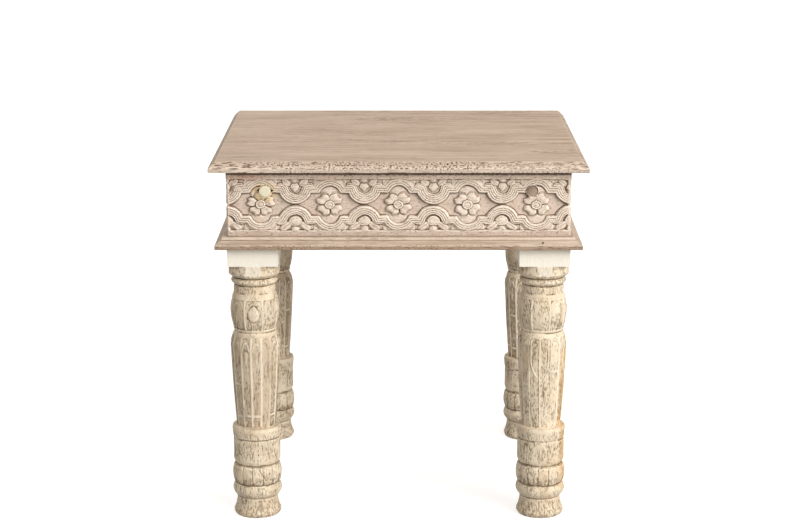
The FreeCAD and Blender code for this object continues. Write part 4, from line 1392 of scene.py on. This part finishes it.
def carveLeaf(at, look):        # on some legs, leaves whose middle rib runs down the whole shaft
    z = at.z
    quarter = math.pi / 2
    around = (at.face * (1 / quarter)).math("ROUND")
    leafX = (at.face - around * quarter) * at.radius + at.sway * look["sway"]
    width = ((z - look["foot"]).high(0) / look["rise"]).low(1) ** 0.5 * look["wide"]
    leafLine = abs(abs(leafX) - width).ramp(*look["line"]) * z.ramp(*look["lineStart"])
    lines = leafLine.high(abs(leafX).ramp(*look["rib"]))
    leafZone = abs(leafX).ramp(*look["edge"]) * zone(z, *look["zone"]) * at.size["Leaf"]
    at.rib = (1 - at.panel) * at.shaftZone * (1 - leafZone) * at.ribWear
    at.rib = at.rib.high(lines * leafZone)
    at.relief = at.relief * (1 - leafZone) + (lines - 1) * leafZone * look["deep"]
    at.pitted = at.pitted * (1 - leafZone) + (1 - lines) * leafZone * look["pits"]


def carveBulb(at, look):        # panels with drawn arcs between ribs, and a boss on some legs
    z = at.z
    low, high = at.levels["bulb"]
    middle = (low + high) / 2
    panels = at.size["Bulb Panels"]
    at.bulbZone = zone(z, low + look["footGap"], high - look["topGap"])
    spoke = at.face * (panels / fullTurn) + 0.5 + at.sway * look["sway"]
    share = spoke - spoke.math("FLOOR") - 0.5
    panelX = share * at.radius * fullTurn / panels
    ribGap = ((0.5 - abs(share)) * at.radius * fullTurn / panels).ramp(*look["rib"])
    arcs = oval(panelX, z - middle + look["arcDown"], look["arcWide"], look["arcHigh"]).root()
    arcs = (arcs * fullTurn).math("COSINE").ramp(0.2, 0.9)
    arcs = arcs * z.ramp(middle - look["arcLow"], middle + look["arcFull"])
    arcs = arcs * panelLuck(at, look["arcDraw"]).ramp(0.2, 0.6, 0.3, 1.0)
    panel = ribGap * at.bulbZone
    at.rib = at.rib.high((1 - ribGap) * at.bulbZone * look["ribShare"])
    at.relief = at.relief + (arcs * 0.7 - 1) * panel * look["deep"]
    at.pitted = at.pitted.high(panel * (1 - arcs * 0.6) * z.ramp(middle + look["pitTop"], low, 0.4, 0.85))
    near = abs(spoke - 0.5).ramp(0.51, 0.49) * at.size["Boss"]
    taper = z.ramp(middle, middle + look["bossTaper"], 1.0, 1.35)
    bossSquare = oval(panelX * taper, z - middle - look["bossUp"], look["bossWide"], look["bossHigh"])
    boss = bossSquare.ramp(1.15, 0.95) * near
    at.relief = at.relief * (1 - boss) + boss * (dome(bossSquare, look["bossRise"]) - look["bossSunk"])
    bossLine = abs(bossSquare.root() - 1.22).ramp(0.18, 0.0) * near * at.bulbZone
    at.relief = at.relief - bossLine * look["bossCut"]
    at.pitted = at.pitted * (1 - boss)
    at.rib = at.rib.high(boss * 0.7)


def carveCollar(at, look):      # a notched band over a cup with drawn arcs
    z = at.z
    low, high = at.levels["band"]
    cut = abs(z - low - look["cutUp"] - at.sway * look["cutSway"]).ramp(look["cut"], 0.0)
    at.relief = at.relief - cut * look["cut"]
    ticks = (at.turn * look["ticks"]).math("COSINE").ramp(0.5, 0.95)
    ticks = ticks * zone(z, low + look["tickLow"], low + look["tickHigh"])
    ticks = ticks * noise(at.tree, at.place, look["tickScale"], 1.0, at.seed).ramp(0.45, 0.6)
    arc = abs(z - low + look["arcDown"] + (at.share * 2) ** 2 * look["arcDrop"]).ramp(*look["arc"])
    cupZone = zone(z, at.levels["cup"][0] + look["cupGap"], low)
    at.relief = at.relief - ticks * look["tickDeep"] - arc * cupZone * look["tickDeep"]
    bandPits = zone(z, low + look["pitLow"], high - look["pitHigh"]) * look["bandPits"]
    at.pitted = at.pitted.high(bandPits).high(cupZone * look["cupPits"])


def carveRing(at, look):        # shallow gadroons with dark pits along their lower ends
    z = at.z
    low, high = at.levels["ring"]
    ringZone = zone(z, low, high)
    side = abs((at.plain - at.plain.math("FLOOR") - 0.5) * 2)
    pillow = side ** 6 + (abs(z - (low + high) / 2 + look["down"]) / look["halfHigh"]) ** 8
    gadroon = pillow.ramp(0.35, 1.0) * ringZone
    at.relief = at.relief - gadroon * look["deep"]
    at.pitted = at.pitted.high(ringZone * z.ramp(low + look["pitHigh"], low + look["pitLow"], 0.36, 0.85))
    lower = z.ramp(high - look["dirtHigh"], low + look["dirtLow"], 0.55, 1.2)
    at.dirt = gadroon * (at.rough * 2.2 - 0.3) * lower


def cutJoints(at, look):        # a knife line in each joint between the members, broken but for the lowest
    levels = at.levels
    broken = streaked(at.tree, at.place, look["gaps"], 2.0, at.seed + 5.0).ramp(0.42, 0.58, 0.22, 1.0)
    at.joints = abs(at.z - levels["torus"][0]).ramp(*look["line"])
    for upper in ("ring", "cup", "band", "bulb", "fillet", "bead", "round"):
        drift = look["bandDrift"] if upper == "band" else look["drift"]
        line = abs(at.z - levels[upper][0] - at.sway * drift).ramp(*look["line"])
        at.joints = at.joints.high(line * broken)
    at.relief = at.relief - at.joints * look["deep"]


def pitPlain(at, look):     # plain members: fillet, bead and round, then torus and foot
    z = at.z
    levels = at.levels
    roundLow, roundHigh = levels["round"]
    shade = zone(z, roundLow + look["shade"], roundHigh + look["edge"], look["shadeSoft"])
    pits = (zone(z, levels["fillet"][0], roundHigh, look["edge"]) * look["uppers"],
            shade * look["underBlock"],
            zone(z, *levels["torus"]) * look["torus"],
            z.ramp(levels["neck"][1], levels["foot"][1]) * look["foot"])
    for item in pits:
        at.pitted = at.pitted.high(item)


def wearLeg(at, look):      # worn spots and pits, faint on the clean block
    patch = streaked(at.tree, at.place, look["stretch"], 3.0, at.seed + 2.0).ramp(0.48, 0.75)
    worn = patch * look["patch"] + at.rough * (at.pitted * look["pitted"] + look["all"])
    at.relief = (at.relief - worn) * (1 - at.clean) - at.clean * at.rough * look["block"]


def carvedLegTree(look):
    sizes = {"Ribs": look["ribs"], "Rib Width": look["ribWide"], "Panel Depth": look["panelDeep"],
             "Block": look["block"], "Bulb Panels": look["bulbPanels"], "Phase": 0.0, "Face Turn": 0.0,
             "Boss": 0.0, "Leaf": 0.0, "Stain": 0.0, "Aged And Shaded": 0.0, "Seed": 0.0}
    tree, start, size, place = newTree("carvedLeg", sizes)
    at = readLeg(tree, size, place, look)
    carveShaft(at, look["shaft"])
    carveLeaf(at, look["leaf"])
    carveBulb(at, look["bulb"])
    carveCollar(at, look["collar"])
    carveRing(at, look["ring"])
    cutJoints(at, look["joint"])
    pitPlain(at, look["mottled"])
    wearLeg(at, look["worn"])
    along = addNode(tree, "ShaderNodeVectorMath", {0: vector(tree, at.x, at.y, 0.0)}, operation="NORMALIZE")
    values = {0: along.outputs[0], "Scale": at.relief}
    offset = addNode(tree, "ShaderNodeVectorMath", values, operation="SCALE")
    geometry = moveBy(tree, start, offset.outputs[0])
    stain = at.turn.ramp(*look["stain"]["turn"]) * zone(at.z, *look["stain"]["zone"]) * size["Stain"]
    # brown of age and painted shade over the shaft and part of the bulb
    old = look["agedAndShaded"]
    agedAndShaded = zone(at.z, at.shaftLow - old["footGap"], at.levels["crown"][1], old["soft"])
    agedAndShaded = agedAndShaded.high(at.bulbZone * old["bulbShare"]) * size["Aged And Shaded"]
    painted = 1 - at.clean
    fields = {"relief": at.relief, "reach": at.radius, "clean": at.clean, "pitted": at.pitted * painted,
              "stain": stain, "rib": at.rib * painted, "agedAndShaded": agedAndShaded}
    geometry = keep(tree, geometry, fields)
    bent = recall(tree, "relief") + recall(tree, "reach") * look["reachShare"]
    geometry = keepHollows(tree, geometry, bent, look["hollows"])
    hollow = recall(tree, "hollow").high(at.joints * (at.rough * 0.7 + 0.3)).high(at.dirt)
    return closeTree(tree, start, keep(tree, geometry, {"hollow": hollow}))


def turnLegs(look):
    tree = carvedLegTree(look)
    for name in legCorners:
        low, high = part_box("leg_" + name)
        middle = (low + high) / 2
        mesh = grow("leg", legBlank(look), tree, {**look["kinds"][name], "Finish": ivoryFinish})
        place = Matrix.Translation((middle.x, middle.y, low.z))
        setPiece("leg" + name.title().replace("_", ""), mesh, place, ["leg_" + name], 45)


turnLegs(turnedLeg)
print("legs turned")


# Inner wood and steel keep their own solids
acrossFinish = sawnFinish("sawnAcross", False, sawnBlocks)
alongFinish = sawnFinish("sawnAlong", True, sawnBlocks)
innerFinishes = {"corner_block": acrossFinish, "top_block": acrossFinish, "top_batten": alongFinish}
for name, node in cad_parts.items():
    finish = next((coating for start, coating in innerFinishes.items() if name.startswith(start)), zincFinish)
    if node.type == "MESH" and not node.hide_render:
        node.data.materials.clear()
        node.data.materials.append(finish)
print("inner pieces finished")


# Floor, light and camera
stageLook = {
    "floor": 60.0, "paint": tint(190, 189, 188), "light": tint(253, 252, 251), "glow": 0.74, "cloud": 0.04,
    "roughness": 0.9, "gloss": 0.1, "sky": 0.36, "skyTint": (1.0, 0.965, 0.9, 1.0),
}
softLights = {       # where each comes from, its strength, and the angle it fills or its size
    "key": {"kind": "SUN", "from": (1.9, -2.7, 1.1), "strength": 1.92, "angle": 34},
    "over": {"kind": "SUN", "from": (0.4, 0.5, 3.0), "strength": 0.68, "angle": 50},
    "back": {"kind": "SUN", "from": (-1.4, 2.6, 1.4), "strength": 0.6, "angle": 50},
    "fill": {"kind": "SUN", "from": (-2.4, -1.3, 1.0), "strength": 0.3, "angle": 50},
    "side": {"kind": "AREA", "from": (1.9, -1.7, 1.7), "strength": 36.0, "size": 1.2},
}
photoView = {"lens": 94.5, "sensor": 36.0, "place": (0.002, -3.289, 1.093), "pitch": 12.82}


def setStage(look):
    half = look["floor"] / 2
    mesh = bpy.data.meshes.new("floor")
    corners = [(-half, -half, 0), (half, -half, 0), (half, half, 0), (-half, half, 0)]
    mesh.from_pydata(corners, [], [(0, 1, 2, 3)])
    material, tree, shader = newFinish("palePaper")
    cloud = noise(tree, objectPlace(tree), 3.0, 2.0, 1.0)
    paper = mixed(tree, cloud * look["cloud"], look["paint"], look["light"])
    plugIn(tree, paper, shader.inputs["Base Color"])
    shader.inputs["Roughness"].default_value = look["roughness"]
    shader.inputs["Specular IOR Level"].default_value = look["gloss"]
    shader.inputs["Emission Color"].default_value = look["light"]
    shader.inputs["Emission Strength"].default_value = look["glow"]
    mesh.materials.append(material)
    floor = bpy.data.objects.new("floor", mesh)
    bpy.context.collection.objects.link(floor)
    floor.visible_diffuse = False       # white paper all round, so no strong light comes back up from it
    world = bpy.data.worlds.new("studio")
    world.use_nodes = True
    sky = world.node_tree.nodes["Background"]
    sky.inputs["Color"].default_value = look["skyTint"]
    sky.inputs["Strength"].default_value = look["sky"]
    bpy.context.scene.world = world


def setLights(lights):
    for name, look in lights.items():
        data = bpy.data.lights.new(name, look["kind"])
        data.energy = look["strength"]
        if look["kind"] == "SUN":
            data.angle = math.radians(look["angle"])
        else:
            data.size = look["size"]
        light = bpy.data.objects.new(name, data)
        light.location = look["from"]
        light.rotation_euler = (-light.location).to_track_quat("-Z", "Y").to_euler()
        bpy.context.collection.objects.link(light)


def setCamera(look):
    data = bpy.data.cameras.new("photoView")
    data.lens = look["lens"]
    data.sensor_width = look["sensor"]
    camera = bpy.data.objects.new("photoView", data)
    camera.location = look["place"]
    camera.rotation_euler = (math.radians(90 - look["pitch"]), 0, 0)
    bpy.context.collection.objects.link(camera)
    bpy.context.scene.camera = camera


setStage(stageLook)
setLights(softLights)
setCamera(photoView)
bpy.context.scene.view_settings.view_transform = "Standard"
print("stage, lights and camera set")
